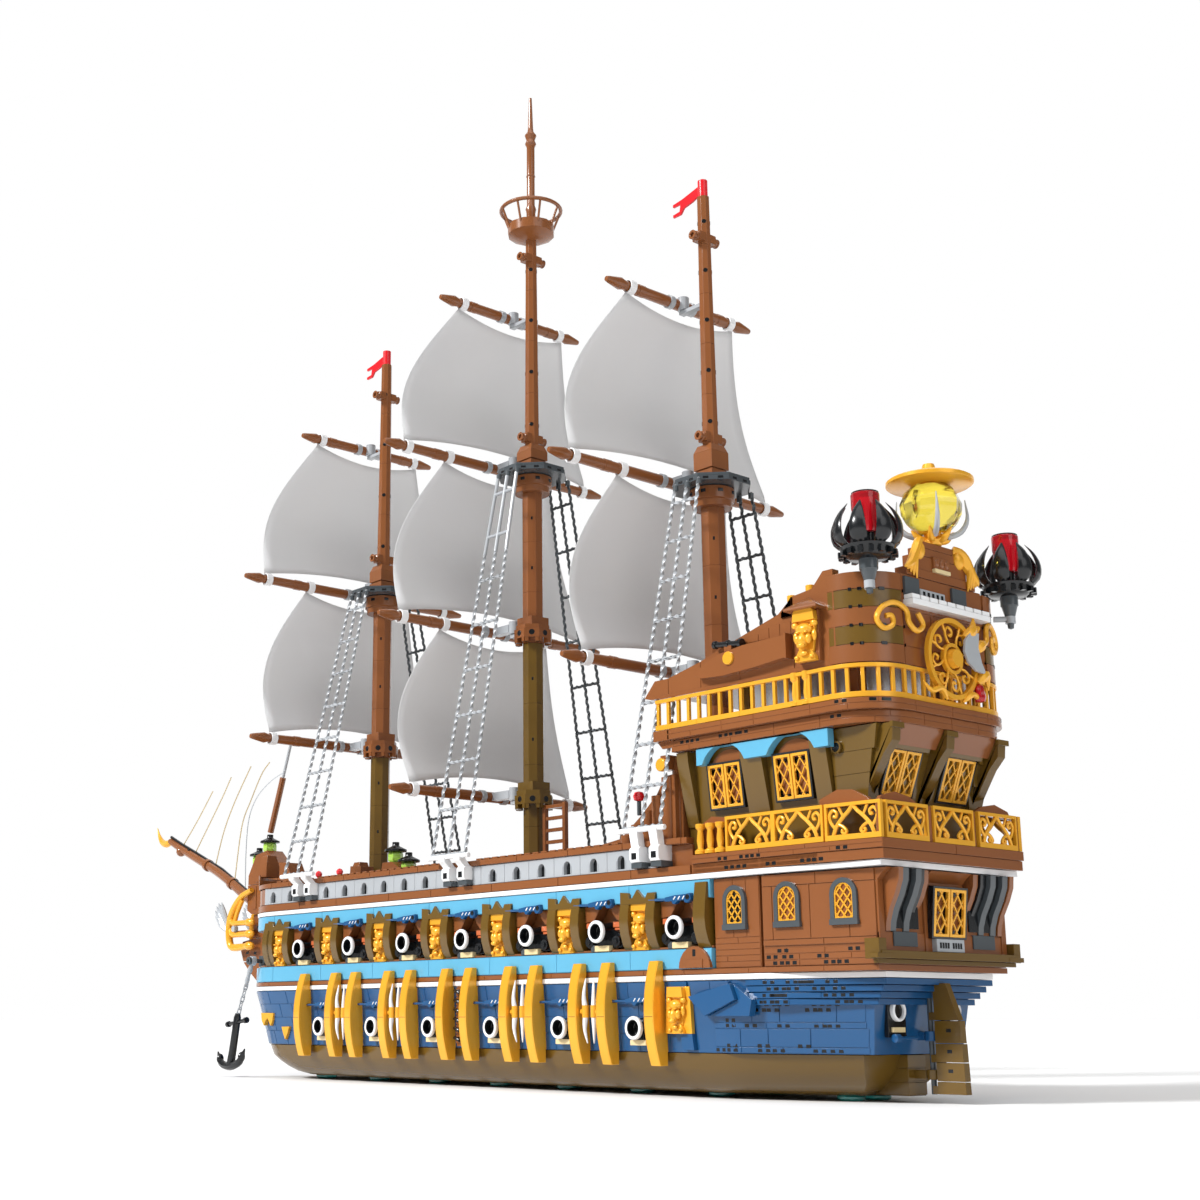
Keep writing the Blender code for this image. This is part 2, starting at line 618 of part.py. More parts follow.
def build_stern_wall(mat):
    """The brown cabin wall over the counter, with its ledge and the window frames."""
    lean = (62.4 - STERN_HALF) / (STERN_BEND - STERN_X)
    wall = plate([mirror_outline([(STERN_X, STERN_HALF - 0.8), (STERN_BEND, 61.4), (STERN_WALL_X - GAP, 61.0)])],
                 Z_LIGHT_LOW, Z_WHITE_UP - GAP)
    step = plate([mirror_outline([(STERN_X + 0.5, STERN_HALF), (STERN_BEND, 62.4)])], 84.0, Z_WHITE_UP - GAP - 0.1)
    ledge = box(STERN_X - 5.5, STERN_X + 5.0, -62.0, 62.0, 72.5, 76.5)
    ends = [box(STERN_X - 4.0, STERN_X + 4.5, side * 58.5 - 3.0, side * 58.5 + 3.0, 76.0, 83.0) for side in (-1, 1)]
    frames = []
    for x in (-323.5, -359.6, -395.0):
        y = 61.0 if x > STERN_BEND else 62.4 - lean * (STERN_BEND - x)
        turn = 0.0 if x > STERN_BEND else math.atan(lean)
        shape = [(-8.0, 90.0), (8.0, 90.0)] + arc(0.0, 106.0, 8.0, 0.0, 180.0, 8)
        frame = plate([shape], -2.0, 0.8, "side")
        frame.data.transform(Matrix.Translation(Vector((x, y, 0.0)) * MM) @ Matrix.Rotation(turn, 4, "Z"))
        frames += [frame, mirrored(frame)]
    grille = box(STERN_X - 2.0, STERN_X + 2.0, -8.0, 8.0, 79.0, 84.0)
    pane = box(STERN_X - 1.5, STERN_X + 2.0, -10.0, 10.0, 85.0, 110.0)
    brackets = []
    curve = [(-1.0, 118.0), (-7.2, 118.0)] + arc(-9.0, 96.5, 8.5, 80.0, 0.0, 6)[1:]
    shape = [(STERN_X + u, v) for u, v in curve] + [(STERN_X + 2.0, 88.0), (STERN_X + 2.0, 118.0)]
    for side in (-1, 1):
        y0, y1 = sorted((side * 14.0, side * 50.0))
        brackets.append(plate([shape], y0, y1, "side"))
    node("stern_wall", fuse(wall, step, ledge, *ends, grille, pane, *frames, *brackets), mat)


def fence(front, rear, half, corner, z0, z1, thick):
    """A fence along both sides and across the stern, with square or round after corners."""
    def path(inset):
        radius = corner - inset
        points = [(front, half - inset)]
        if corner > thick:
            points += arc(rear + corner, half - corner, radius, 90.0, 180.0, 6)
            points += arc(rear + corner, -half + corner, radius, 180.0, 270.0, 6)
        else:
            points += [(rear + inset, half - inset), (rear + inset, -half + inset)]
        points.append((front, -half + inset))
        return points
    return plate([path(0.0) + list(reversed(path(thick)))], z0, z1)


def build_balcony(mats):
    def path(inset):
        return [(BALCONY_FRONT - 1.0, BALCONY_HALF - inset), (BALCONY_BEND, BALCONY_HALF - inset),
                (BALCONY_REAR + inset, BALCONY_REAR_HALF - inset), (BALCONY_REAR + inset, inset - BALCONY_REAR_HALF),
                (BALCONY_BEND, inset - BALCONY_HALF), (BALCONY_FRONT - 1.0, inset - BALCONY_HALF)]
    base = [(BALCONY_FRONT, BALCONY_HALF)] + path(0.0)[1:-1] + [(BALCONY_FRONT, -BALCONY_HALF)]
    node("balcony_floor", plate([base], Z_PANEL, Z_BALCONY - GAP), mats["brown"])
    rail = plate([path(0.6) + list(reversed(path(3.6)))], Z_BALCONY, Z_BALCONY_RAIL)
    node("balcony_fence", rail, mats["gold"])


def build_cabin(mats):
    """The olive upper cabin, which leans outwards as it rises, and its light blue valances."""
    body = loft([(Z_BALCONY, mirror_outline([(-403.2, 49.0), (CABIN_FRONT, 49.0)])),
                 (150.0, mirror_outline([(-405.5, 49.3), (CABIN_FRONT, 49.5)])),
                 (Z_CABIN_TOP - GAP, mirror_outline([(-421.4, 52.6), (CABIN_FRONT, 54.0)]))])
    ribs = []
    for x, wide in ((-282.5, 4.0), (-331.0, 7.5), (-371.0, 4.5)):
        for side in (-1, 1):
            ribs.append(loft([(Z_BALCONY + 0.4, square(x, side * 48.5, wide, 3.0)),
                              (179.6, square(x, side * 54.0, wide, 5.2))]))
    for y in (-47.5, 0.0, 47.5):
        shape = [(-403.0, 146.0), (-408.0, 150.0), (-413.0, 163.0), (-419.0, 174.0), (-425.0, 182.0), (-425.8, 192.8),
                 (-414.0, 192.8), (-402.0, 150.0)]
        ribs.append(plate([shape], y - 3.0, y + 3.0, "side"))
    node("upper_cabin", fuse(body, *ribs), mats["olive"])

    slope = [(-207.0, Z_PANEL), (-207.0, 144.5), (-229.0, 147.5), (-247.0, 160.0), (-260.0, 171.0), (-267.0, 181.0),
             (-275.0, 181.5), (-275.0, Z_PANEL)]
    walls = [plate([slope], 53.0, 57.6, "side"), plate([slope], -57.6, -53.0, "side")]
    bulkhead = box(CABIN_FRONT + GAP, -271.0, -53.5, 53.5, Z_PANEL, Z_CABIN_TOP - GAP)
    sill = box(BALCONY_FRONT + GAP, -272.0, -53.0, 53.0, Z_PANEL, Z_BALCONY - GAP)
    node("cabin_front", fuse(bulkhead, sill, *walls), mats["brown"])
    arches = []
    for x in (-316.0, -361.0):
        arches.append([(x - 15.0, 181.0), (x + 15.0, 181.0), (x + 11.0, 186.0), (x + 4.0, 188.4), (x - 4.0, 188.4),
                       (x - 11.0, 186.0)])
    outline = [(-384.0, 180.0), (-293.0, 180.0), (-293.0, Z_CABIN_TOP - GAP), (-384.0, Z_CABIN_TOP - GAP)]
    port = plate([outline, *arches], 54.0 + GAP, 60.0, "side")
    starboard = mirrored(port)
    node("valance_port", port, mats["light"])
    node("valance_starboard", starboard, mats["light"])


def gallery_outline(front, rear, half, corner):
    points = [(front, half)]
    points = arc(rear + corner, half - corner, corner, 180.0, 90.0, 6) + points
    return mirror_outline(points)


def build_gallery(mats):
    low = plate([gallery_outline(NET_CLEAR, GALLERY_REAR + 1.0, GALLERY_HALF - 3.8, GALLERY_CORNER)],
                Z_CABIN_TOP, 200.5)
    high = plate([gallery_outline(NET_CLEAR, GALLERY_REAR, GALLERY_HALF, GALLERY_CORNER)], 200.0,
                 Z_GALLERY - GAP)
    wings = [box(NET_CLEAR - 2.0, GALLERY_FRONT, side * 63.5 - 1.9, side * 63.5 + 1.99, 200.01, Z_GALLERY - GAP - 0.01)
             for side in (-1, 1)]
    awnings = []
    for side in (-1, 1):
        y0, y1 = sorted((side * 3.6, side * 43.9))
        awnings.append(plate([[(-417.9, 181.0), (-421.3, 180.6), (-426.3, 193.6), (-422.2, 193.6)]], y0, y1, "side"))
    node("gallery_floor", fuse(low, high, *wings, *awnings), mats["brown"])
    rail = fence(GALLERY_FRONT - 1.5, GALLERY_REAR + 1.5, GALLERY_HALF - 1.2, GALLERY_CORNER - 1.0, Z_GALLERY,
                 Z_GALLERY_RAIL - GAP, 2.2)
    node("gallery_fence", rail, mats["gold"])


def build_poop(mats):
    """The poop: floor on pillars, sloping side walls, rounded corners and the stepped crown."""
    floor = plate([gallery_outline(NET_CLEAR, POOP_REAR, POOP_HALF, GALLERY_CORNER - 2.0)], Z_GALLERY_RAIL, 232.0)
    slope = [(-257.0, 226.6), (-266.0, 236.6), (-277.0, 236.6), (-303.0, 242.4), (-332.5, 251.0), (-362.6, 259.4),
             (-373.0, 267.5), (-386.8, 269.2), (-394.7, 277.6), (-402.0, 277.6), (-402.0, 225.2), (-260.0, 225.2)]
    walls = []
    for side in (-1, 1):
        y0, y1 = sorted((side * 57.5, side * (POOP_HALF - 0.01)))
        walls.append(plate([slope], y0, y1, "side"))
    corner = fence(-398.5, POOP_REAR + 0.02, POOP_HALF - 0.03, GALLERY_CORNER - 2.0, 225.4, 274.2, 8.0)
    rear = box(POOP_REAR + 0.03, POOP_REAR + 8.0, -35.5, 35.5, 260.0, 284.0)
    crown = plate([mirror_outline_yz([(30.0, 283.0), (30.0, 287.0), (20.0, 287.0), (20.0, 292.0), (11.0, 292.0),
                                      (11.0, 296.5)])], POOP_REAR + 0.5, POOP_REAR + 9.0, "cross")
    ledge = box(POOP_REAR - 6.0, POOP_REAR + 1.0, -30.0, 30.0, 256.0, 259.5)
    pillars = [box(-330.0, -322.0, s * 50.0 - 3.0, s * 50.0 + 3.0, Z_GALLERY, 226.0) for s in (-1, 1)]
    pillars += [box(-400.0, -392.0, s * 40.0 - 4.0, s * 40.0 + 4.0, Z_GALLERY, 226.0) for s in (-1, 1)]
    node("poop", fuse(floor, *walls, corner, rear, crown, ledge, *pillars), mats["brown"])


def mirror_outline_yz(half):
    """An outline of (y, z) points, given from its outer foot up to its middle, with its other half."""
    foot = half[0][1]
    full = half + [(-y, z) for y, z in reversed(half)]
    return full if foot < full[-1][1] else full


def build_lanterns(mats):
    top = turned([(0, 344.5), (3.0, 343.5), (8.0, 340.0), (24.0, 334.0), (24.0, 332.5), (14.0, 332.5), (17.5, 322.0),
                  (15.5, 312.0), (9.0, 305.5), (12.0, 303.0), (5.0, 299.0), (3.5, 296.5 + GAP), (0, 296.5 + GAP)],
                 (LANTERN_X, 0, 0), 20)
    node("stern_lantern", top, mats["amber"])
    for name, side in (("side_lantern_port", 1), ("side_lantern_starboard", -1)):
        cup = turned([(0, 313.8), (7.0, 313.8), (7.5, 306.0), (12.0, 304.0), (19.5, 296.0), (19.0, 286.0), (15.0, 281.5),
                      (15.0, 277.5), (5.5, 274.5), (5.5, 270.0), (1.6, 260.0), (0, 259.0)],
                     (-426.0, side * 63.5, 0), 12)
        arm = cone((-418.2, side * 55.5, 264.5), (-425.0, side * 62.4, 264.5), 1.6, 1.6, 8)
        node(name, fuse(cup, arm), mats["black"])
    disc = plate([arc(0.0, 232.0, 22.4, 0.0, 345.0, 23)], GALLERY_REAR - 3.5, GALLERY_REAR - 0.8, "cross")
    hub = cone((GALLERY_REAR - 8.0, 0, 232.0), (POOP_REAR - GAP, 0, 232.0), 5.0, 5.0, 12)
    node("filigree_disc", fuse(disc, hub), mats["gold"])


def build_helm(mats):
    """The steering wheel on its pin."""
    rim = tube([(HELM_X, y, z) for y, z in arc(0.0, HELM_Z, 7.4, 0.0, 330.0, 11)], 0.9, None, 0, True)
    spokes = []
    for i in range(4):
        a = math.radians(45.0 * i + 22.5)
        dy = 8.4 * math.cos(a)
        dz = 8.4 * math.sin(a)
        spokes.append(cone((HELM_X, -dy, HELM_Z - dz), (HELM_X, dy, HELM_Z + dz), 0.8, 0.8, 4))
    hub = cone((HELM_X - 1.6, 0, HELM_Z), (HELM_X + 1.6, 0, HELM_Z), 2.4, 2.4, 12)
    wheel = carve(fuse(hub, rim, *spokes), cone((HELM_X - 9, 0, HELM_Z), (HELM_X + 9, 0, HELM_Z), 1.1, 1.1, 8))
    node("helm_wheel", wheel, mats["gold"], pivot=(HELM_X, 0, HELM_Z))
    stand = fuse(box(HELM_X + 2.6, HELM_X + 6.0, -3.0, 3.0, Z_GALLERY, HELM_Z + 3.0),
                 cone((HELM_X - 2.4, 0, HELM_Z), (HELM_X + 4.0, 0, HELM_Z), 0.8, 0.8, 8))
    node("helm_stand", stand, mats["brown"])


def build_rudder(mats):
    """The rudder with the pintle rod on which it turns in the hull's two gudgeons."""
    blade = plate([[(-406.0, RUDDER_BOTTOM), (-423.5, RUDDER_BOTTOM), (-423.0, 42.0), (-414.0, RUDDER_TOP),
                    (-406.0, RUDDER_TOP)]], -2.4, 2.4, "side")
    lugs = [box(-407.0, RUDDER_X, -1.6, 1.6, z, z + 4.4) for z in (4.6, 20.5, 42.0)]
    rod = cone((RUDDER_X, 0, RUDDER_BOTTOM), (RUDDER_X, 0, RUDDER_TOP), 1.6, 1.6, 12)
    node("rudder", fuse(blade, *lugs, rod), mats["olive"], pivot=(RUDDER_X, 0, 0))


def gudgeon(x, z):
    """An eye that reaches aft from x and takes the rudder's rod."""
    arm = fuse(box(RUDDER_X, x, -3.2, 3.2, z, z + 5.0), cone((RUDDER_X, 0, z), (RUDDER_X, 0, z + 5.0), 3.4, 3.4, 12))
    return carve(arm, cone((RUDDER_X, 0, z - 3.0), (RUDDER_X, 0, z + 8.0), 2.0, 2.0, 12))


# Masts, yards and sails

def swing_pin(x, z, above):
    """The fixed arm under or over a yard's bracket, with the upright pin on which the bracket swings."""
    axis = x + SWING_REACH
    side = 1.0 if above else -1.0
    low, high = sorted((z + side * 5.0, z + side * 7.6))
    arm = box(x + 2.0, axis + 2.0, -2.4, 2.4, low, high)
    pin = cone((axis, 0, z + side * 7.0), (axis, 0, z - side * (2.8 if above else 4.6)), 1.5, 1.5, 8)
    return [arm, pin]


def build_mast(name, spec, mats):
    """One mast: lower column, collars, the round under its platform, and the thin upper column."""
    x = spec["x"]
    wide = 8.0 if name == "mizzen" else 7.6
    pieces = [cone((x, 0, spec["foot"]), (x, 0, spec["round"] + 2.0), wide, wide, 8, math.radians(22.5))]
    for z in spec["collars"]:
        pieces.append(cone((x, 0, z), (x, 0, z + 13.0), 14.0, 14.0, 8, math.radians(22.5)))
        pieces.append(box(x - 8.0, x + 8.0, -8.0, 8.0, z + 12.5, z + 19.0))
    top = spec["top"]
    pieces.append(cone((x, 0, spec["round"]), (x, 0, top - GAP), 12.5, 14.3, 16))
    pieces.append(cone((x, 0, top - 2.0), (x, 0, top + 8.0), 7.5, 7.5, 8, math.radians(22.5)))
    pieces.append(box(x - 8.0, x + 8.0, -8.0, 8.0, top + 5.6, spec["cross"] - 2.0))
    pieces.append(cone((x, 0, spec["cross"] - 3.0), (x, 0, spec["head"]), 5.4, 4.2, 8, math.radians(22.5)))
    pieces.append(box(x - 3.6, x + 3.6, -11.5, 11.5, spec["cross"], spec["cross"] + 6.4))
    pieces.append(box(x - 3.4, x + 3.4, -11.5, 11.5, spec["head_cross"] - 3.0, spec["head_cross"] + 3.0))
    for reach, z, _ in spec["yards"]:
        pieces.extend(swing_pin(x, z, z - spec["top"] < 12.0 and z > spec["top"]))
    if name == "main":
        basket = turned([(0, 617.5), (16.0, 617.5), (17.6, 619.0), (17.6, 611.5), (8.0, 606.6), (0, 606.6)], (x, 0, 0), 12)
        posts = []
        for i in range(8):
            a = math.radians(45.0 * i + 22.5)
            posts.append(cone((x + 16.4 * math.cos(a), 16.4 * math.sin(a), 616.0),
                              (x + 22.4 * math.cos(a), 22.4 * math.sin(a), 632.0), 0.9, 0.9, 6))
        ring = tube([(x + u, v, 631.5) for u, v in arc(0.0, 0.0, 22.3, 0.0, 342.0, 19)], 1.6, cyclic=True)
        topmast = turned([(0, 725.7), (1.2, 725.7), (2.0, 700.0), (2.4, 697.0), (4.6, 694.0), (3.2, 690.0), (4.4, 687.0),
                          (3.0, 684.0), (3.0, 636.0), (4.2, 633.0), (3.4, 630.0), (3.4, 610.0), (0, 610.0)],
                         (x, 0, 0), 12)
        pieces.extend([basket, ring, topmast, *posts])
    else:
        pieces.extend(swallow_flag(x, spec["head"]))
    node("mast_" + name, fuse(*pieces), mats["brown"])
    build_platform(name, spec, mats)


def swallow_flag(x, head):
    """A stiff flag with two tails on a short sleeve, pointing forward."""
    sleeve = cone((x, 0, head - 2.0), (x, 0, head + 12.0), 3.4, 3.4, 10)
    cloth = plate([[(x + 2.0, head + 3.0), (x + 9.0, head + 0.5), (x + 17.0, head - 1.0), (x + 20.0, head - 4.5),
                    (x + 27.0, head - 4.5), (x + 27.0, head - 2.5), (x + 21.0, head - 2.0), (x + 20.0, head + 3.0),
                    (x + 27.0, head + 3.0), (x + 27.0, head + 5.0), (x + 18.0, head + 6.0), (x + 9.0, head + 8.0),
                    (x + 2.0, head + 9.5)]], -1.0, 1.0, "side")
    return [sleeve, cloth]


def shroud_net(name, spec):
    """The port shroud of a mast: three strands and their rungs, moulded as one flat net."""
    feet, out, spread = SHROUDS[name]
    head_x = spec["x"] - 1.4
    foot = Vector((0, out, 156.0 + GAP))
    head = Vector((0, 24.0, spec["top"] + 1.0))
    length = (head - foot).length
    strand = 0.9
    rungs = 9

    def across(v, side):
        t = v / length
        return feet + (head_x - feet) * t + side * (spread + (10.0 - spread) * t)

    edges = [i / (rungs - 1) * 0.94 * length for i in range(rungs)]
    outline = [(across(0, -1) - strand, 0), (across(0, 1) + strand, 0), (across(length, 1) + strand, length),
               (across(length, -1) - strand, length)]
    cells = []
    for low, high in zip(edges, edges[1:]):
        low += strand if low else 2 * strand
        high -= strand
        for left, right in ((-1, 0), (0, 1)):
            cells.append([(across(low, left) + strand, low), (across(low, right) - strand, low),
                          (across(high, right) - strand, high), (across(high, left) + strand, high)])
    net = plate([outline, *cells], -strand, strand)
    up = (head - foot).normalized()
    out = Vector((1, 0, 0)).cross(up)
    turn = Matrix((Vector((1, 0, 0)), up, out)).transposed().to_4x4()
    net.data.transform(Matrix.Translation(foot * MM) @ turn)
    return net


def build_platform(name, spec, mats):
    """The dark octagonal platform round a mast, with the shrouds that hang from it on both sides."""
    x = spec["x"]
    top = spec["top"]
    deck = cone((x, 0, top), (x, 0, top + 5.0), 25.9, 25.9, 8, math.radians(22.5))
    hole = cone((x, 0, top - 5.0), (x, 0, top + 10.0), 8.0 + GAP, 8.0 + GAP, 8, math.radians(22.5))
    port = shroud_net(name, spec)
    starboard = mirrored(port)
    node("platform_" + name, fuse(carve(deck, hole), port, starboard), mats["dark"])


def build_yard(mast, level, x, reach, z, half, mats):
    """A yard with its tapered ends and the bracket that swings on the mast's pin."""
    ends = [(-half, 0.45), (-half + 14.0, 1.0), (half - 14.0, 1.0), (half, 0.45)]
    bar = tube([(x + reach, y, z) for y, _ in ends], YARD_RADIUS, [r for _, r in ends], 2)
    axis = x + SWING_REACH
    sleeve = cone((axis, 0, z - (3.0 if mast == "fore" and level == "middle" else 4.6)), (axis, 0, z + 4.6), 4.0, 4.0, 12)
    link = box(axis, x + reach + 0.5, -3.0, 3.0, z - 3.0, z + 3.0)
    hole = cone((axis, 0, z - 9.0), (axis, 0, z + 9.0), 1.9, 1.9, 8)
    body = carve(fuse(bar, sleeve, link), hole)
    node("yard_" + mast + "_" + level, body, mats["brown"], pivot=(axis, 0, z))


def sail_point(u, v, low, high, x):
    """A point of a sail: u runs from -1 to 1 across, and v from 0 at the head to 1 at the foot."""
    (reach_low, z_low, half_low), (reach_high, z_high, half_high) = low, high
    head_half = min(50.0, half_high - 15.0)
    foot_half = half_low - 17.0
    head_z = z_high - YARD_RADIUS - 0.45
    foot_z = z_low + YARD_RADIUS + 0.45
    half = head_half + (foot_half - head_half) * v ** 1.3 + 13.0 * math.sin(math.pi * v) ** 0.9
    rise = 9.0 * (1 - u * u) * (v ** 3) - 8.0 * (1 - u * u) * ((1 - v) ** 3)
    z = head_z + (foot_z - head_z) * v + rise
    out = 24.0 * math.sin(math.pi * min(1.0, v * 1.02)) * (1 - 0.38 * u * u)
    return Vector((x + reach_high + (reach_low - reach_high) * v + out, half * u, z))


def build_sail(mast, level, x, low, high, mats, columns=8, rows=7):
    bm = bmesh.new()
    grid = []
    for j in range(rows + 1):
        row = []
        for i in range(columns + 1):
            row.append(bm.verts.new(sail_point(2.0 * i / columns - 1.0, j / rows, low, high, x) * MM))
        grid.append(row)
    for j in range(rows):
        for i in range(columns):
            bm.faces.new((grid[j][i], grid[j][i + 1], grid[j + 1][i + 1], grid[j + 1][i]))
    sheet = from_bmesh(bm)
    thick = sheet.modifiers.new("Film", "SOLIDIFY")
    thick.thickness = SAIL_THICK * MM
    thick.offset = 0.0
    bpy.context.view_layer.update()
    node("sail_" + mast + "_" + level, settle(to_mesh(sheet)), mats["sail"], True, (x + SWING_REACH, 0, low[1]))


def build_rig(mats):
    for name, spec in MASTS.items():
        build_mast(name, spec, mats)
        x = spec["x"]
        for level, (reach, z, half) in zip(YARD_NAMES[name], spec["yards"]):
            build_yard(name, level, x, reach, z, half, mats)
        for level, low, high in zip(YARD_NAMES[name], spec["yards"], spec["yards"][1:]):
            build_sail(name, level, x, low, high, mats)


# Anchors

ANCHOR_X = 168.0
ANCHOR_Y = 66.0
ANCHOR_Z = 86.0


def anchor_peg(side):
    """The hawse block beside the bow and the headed peg from which an anchor hangs."""
    y = side * ANCHOR_Y
    low, high = sorted((side * 40.0, side * 58.0))
    block = box(ANCHOR_X - 4.0, ANCHOR_X + 4.0, low, high, Z_GUNS + 0.6, ANCHOR_Z + 4.0)
    peg = cone((ANCHOR_X, side * 50.0, ANCHOR_Z), (ANCHOR_X, y + side * 4.0, ANCHOR_Z), 1.6, 1.6, 12)
    head = cone((ANCHOR_X, y + side * 2.4, ANCHOR_Z), (ANCHOR_X, y + side * 4.0, ANCHOR_Z), 3.0, 3.0, 12)
    return [block, peg, head]


def build_anchor(side, mats):
    """An anchor on its moulded chain, which hangs by a ring from its peg."""
    name = "port" if side > 0 else "starboard"
    eye = Vector((ANCHOR_X, side * ANCHOR_Y, ANCHOR_Z))
    foot = eye + Vector((16.0, side * 1.0, -43.0))
    ring = cone(eye - Vector((0, 1.9, 0)), eye + Vector((0, 1.9, 0)), 3.8, 3.8, 12)
    hole = cone(eye - Vector((0, 5, 0)), eye + Vector((0, 5, 0)), 1.9, 1.9, 12)
    chain = tube([eye + Vector((1.0, 0, -2.6)), foot], 1.3, None, 1)
    crown = foot + Vector((7.0, side * 0.5, -35.0))
    shank = tube([foot + Vector((-0.4, 0, 2.0)), crown], 2.2, [0.8, 1.2], 1)
    stock = tube([foot + Vector((-13.0, 0, -1.0)), foot + Vector((13.0, 0, -4.0))], 1.6, None, 1)
    arms = tube([crown + Vector((-20.0, 0, 13.0)), crown + Vector((-13.0, 0, 3.5)), crown, crown + Vector((13.0, 0, 2.0)),
                 crown + Vector((19.0, 0, 10.5))], 2.2, [0.5, 1.0, 1.2, 1.0, 0.5], 1)
    body = carve(fuse(ring, chain, shank, stock, arms), hole)
    node("anchor_" + name, body, mats["black"], pivot=tuple(eye))


def main():
    for obj in list(bpy.data.objects):
        bpy.data.objects.remove(obj)
    mats = palette()
    build_hull_bottom(mats["olive"])
    build_hull_blue(mats["blue"])
    build_strakes(mats)
    build_gun_deck(mats["brown"])
    build_gun_frames(mats["olive"])
    build_deck(mats["brown"])
    build_bulwark(mats)
    build_bow(mats)
    build_stern_wall(mats["brown"])
    build_balcony(mats)
    build_cabin(mats)
    build_gallery(mats)
    build_poop(mats)
    build_lanterns(mats)
    build_helm(mats)
    build_rudder(mats)
    build_rig(mats)
    for side in (1, -1):
        build_anchor(side, mats)


main()
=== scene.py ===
# %% [markdown]
# # A brick-built toy galleon
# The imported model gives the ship's solids, in metres, with the bow at +X and port at +Y.
# Nothing here moves them. We dress them with moulded bricks, ropes, film sails and gold ornaments,
# and where a solid carries several colours we build finer pieces that stand for it.

# %% The frame
import json
import random
from math import atan, cos, pi, radians, sin, sqrt, tau

import bmesh
import bpy
from mathutils import Matrix, Vector
from mathutils.geometry import tessellate_polygon


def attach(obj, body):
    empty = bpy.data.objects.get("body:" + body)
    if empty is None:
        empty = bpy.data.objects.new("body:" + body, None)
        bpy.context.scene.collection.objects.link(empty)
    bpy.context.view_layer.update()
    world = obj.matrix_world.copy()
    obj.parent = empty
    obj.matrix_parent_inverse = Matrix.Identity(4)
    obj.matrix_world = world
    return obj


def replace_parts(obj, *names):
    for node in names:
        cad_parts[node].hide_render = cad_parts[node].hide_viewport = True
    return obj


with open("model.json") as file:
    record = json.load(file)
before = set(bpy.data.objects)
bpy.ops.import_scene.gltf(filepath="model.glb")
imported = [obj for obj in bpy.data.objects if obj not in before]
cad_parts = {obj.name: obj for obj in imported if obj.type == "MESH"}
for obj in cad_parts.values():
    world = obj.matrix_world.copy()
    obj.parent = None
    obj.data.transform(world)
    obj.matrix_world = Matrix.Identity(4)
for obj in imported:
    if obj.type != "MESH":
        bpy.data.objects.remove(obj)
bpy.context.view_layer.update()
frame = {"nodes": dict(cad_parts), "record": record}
MM = 0.001
print("solids:", len(frame["nodes"]))

# %% [markdown]
# ## Camera and light
# The ship was photographed from just above the shelf, off the port quarter, so the camera stands
# 42 mm high and tilts up. A small lens shift puts the picture's frame where the photograph has it.
# Three soft suns and a dim room with one white screen suit glossy plastic, because each edge catches
# a long highlight.

# %% Camera, lamps and room
IMAGE_SIDE = 1200
FOCAL_PIXELS = 1679.3
CENTRE_ACROSS, CENTRE_DOWN = 497.25, 621.93  # where the camera looks, in the picture's pixels
TILT_UP, TURNED_AWAY = 13.32, 39.67


def show(name, data):
    """An object made of the data and put into the scene."""
    obj = bpy.data.objects.new(name, data)
    bpy.context.scene.collection.objects.link(obj)
    return obj


camera_data = bpy.data.cameras.new("camera")
camera_data.sensor_width = 36
camera_data.lens = FOCAL_PIXELS / IMAGE_SIDE * camera_data.sensor_width
camera_data.shift_x = (IMAGE_SIDE / 2 - CENTRE_ACROSS) / IMAGE_SIDE
camera_data.shift_y = (CENTRE_DOWN - IMAGE_SIDE / 2) / IMAGE_SIDE
camera_data.clip_start = 0.01
camera = show("camera", camera_data)
camera.location = (-0.9558, 0.7557, 0.0425)
camera.rotation_euler = (radians(90 + TILT_UP), 0, radians(-TURNED_AWAY - 90))
bpy.context.scene.camera = camera


def sun(name, place, power, spread):
    """A far, soft lamp that shines from the place's direction."""
    data = bpy.data.lights.new(name, "SUN")
    data.energy = power
    data.angle = radians(spread)
    show(name, data).rotation_euler = Vector(place).to_track_quat("Z", "Y").to_euler()


def add(tree, kind, inputs=None, **settings):
    """Adds one node, sets it up, and links or fills its inputs. A node stands for its first output."""
    made = tree.nodes.new(kind)
    for key, value in settings.items():
        setattr(made, key, value)
    for key, value in (inputs or {}).items():
        if isinstance(value, bpy.types.Node):
            value = value.outputs[0]
        if isinstance(value, bpy.types.NodeSocket):
            tree.links.new(value, made.inputs[key])
        else:
            made.inputs[key].default_value = value
    return made


# Each sun has the direction it shines from, its power and its spread in degrees.
sun("key", (0.3, 1, 0.72), 3.7, 12)
sun("top", (-0.3, 0.3, 1), 1.1, 60)
sun("stern fill", (-1, 0.1, 0.5), 0.5, 40)

# The room is dim, apart from a wide white screen behind the ship, as in a product studio.
world = bpy.data.worlds.new("studio with a white screen")
world.use_nodes = True
room = world.node_tree
SCREEN_WAY = (0.749, -0.621, 0.23)
towards = add(room, "ShaderNodeTexCoord")
near = add(room, "ShaderNodeVectorMath", {0: towards.outputs["Generated"], 1: SCREEN_WAY},
    operation="DOT_PRODUCT")
glow = add(room, "ShaderNodeMapRange", {"Value": near.outputs["Value"], "From Min": 0.4, "From Max": 0.8,
    "To Min": 0.2, "To Max": 1}, interpolation_type="SMOOTHSTEP")
room.links.new(glow.outputs["Result"], room.nodes["Background"].inputs["Strength"])
room.nodes["Background"].inputs["Color"].default_value = (1, 1, 1, 1)
bpy.context.scene.world = world
bpy.context.scene.view_settings.view_transform = "Standard"

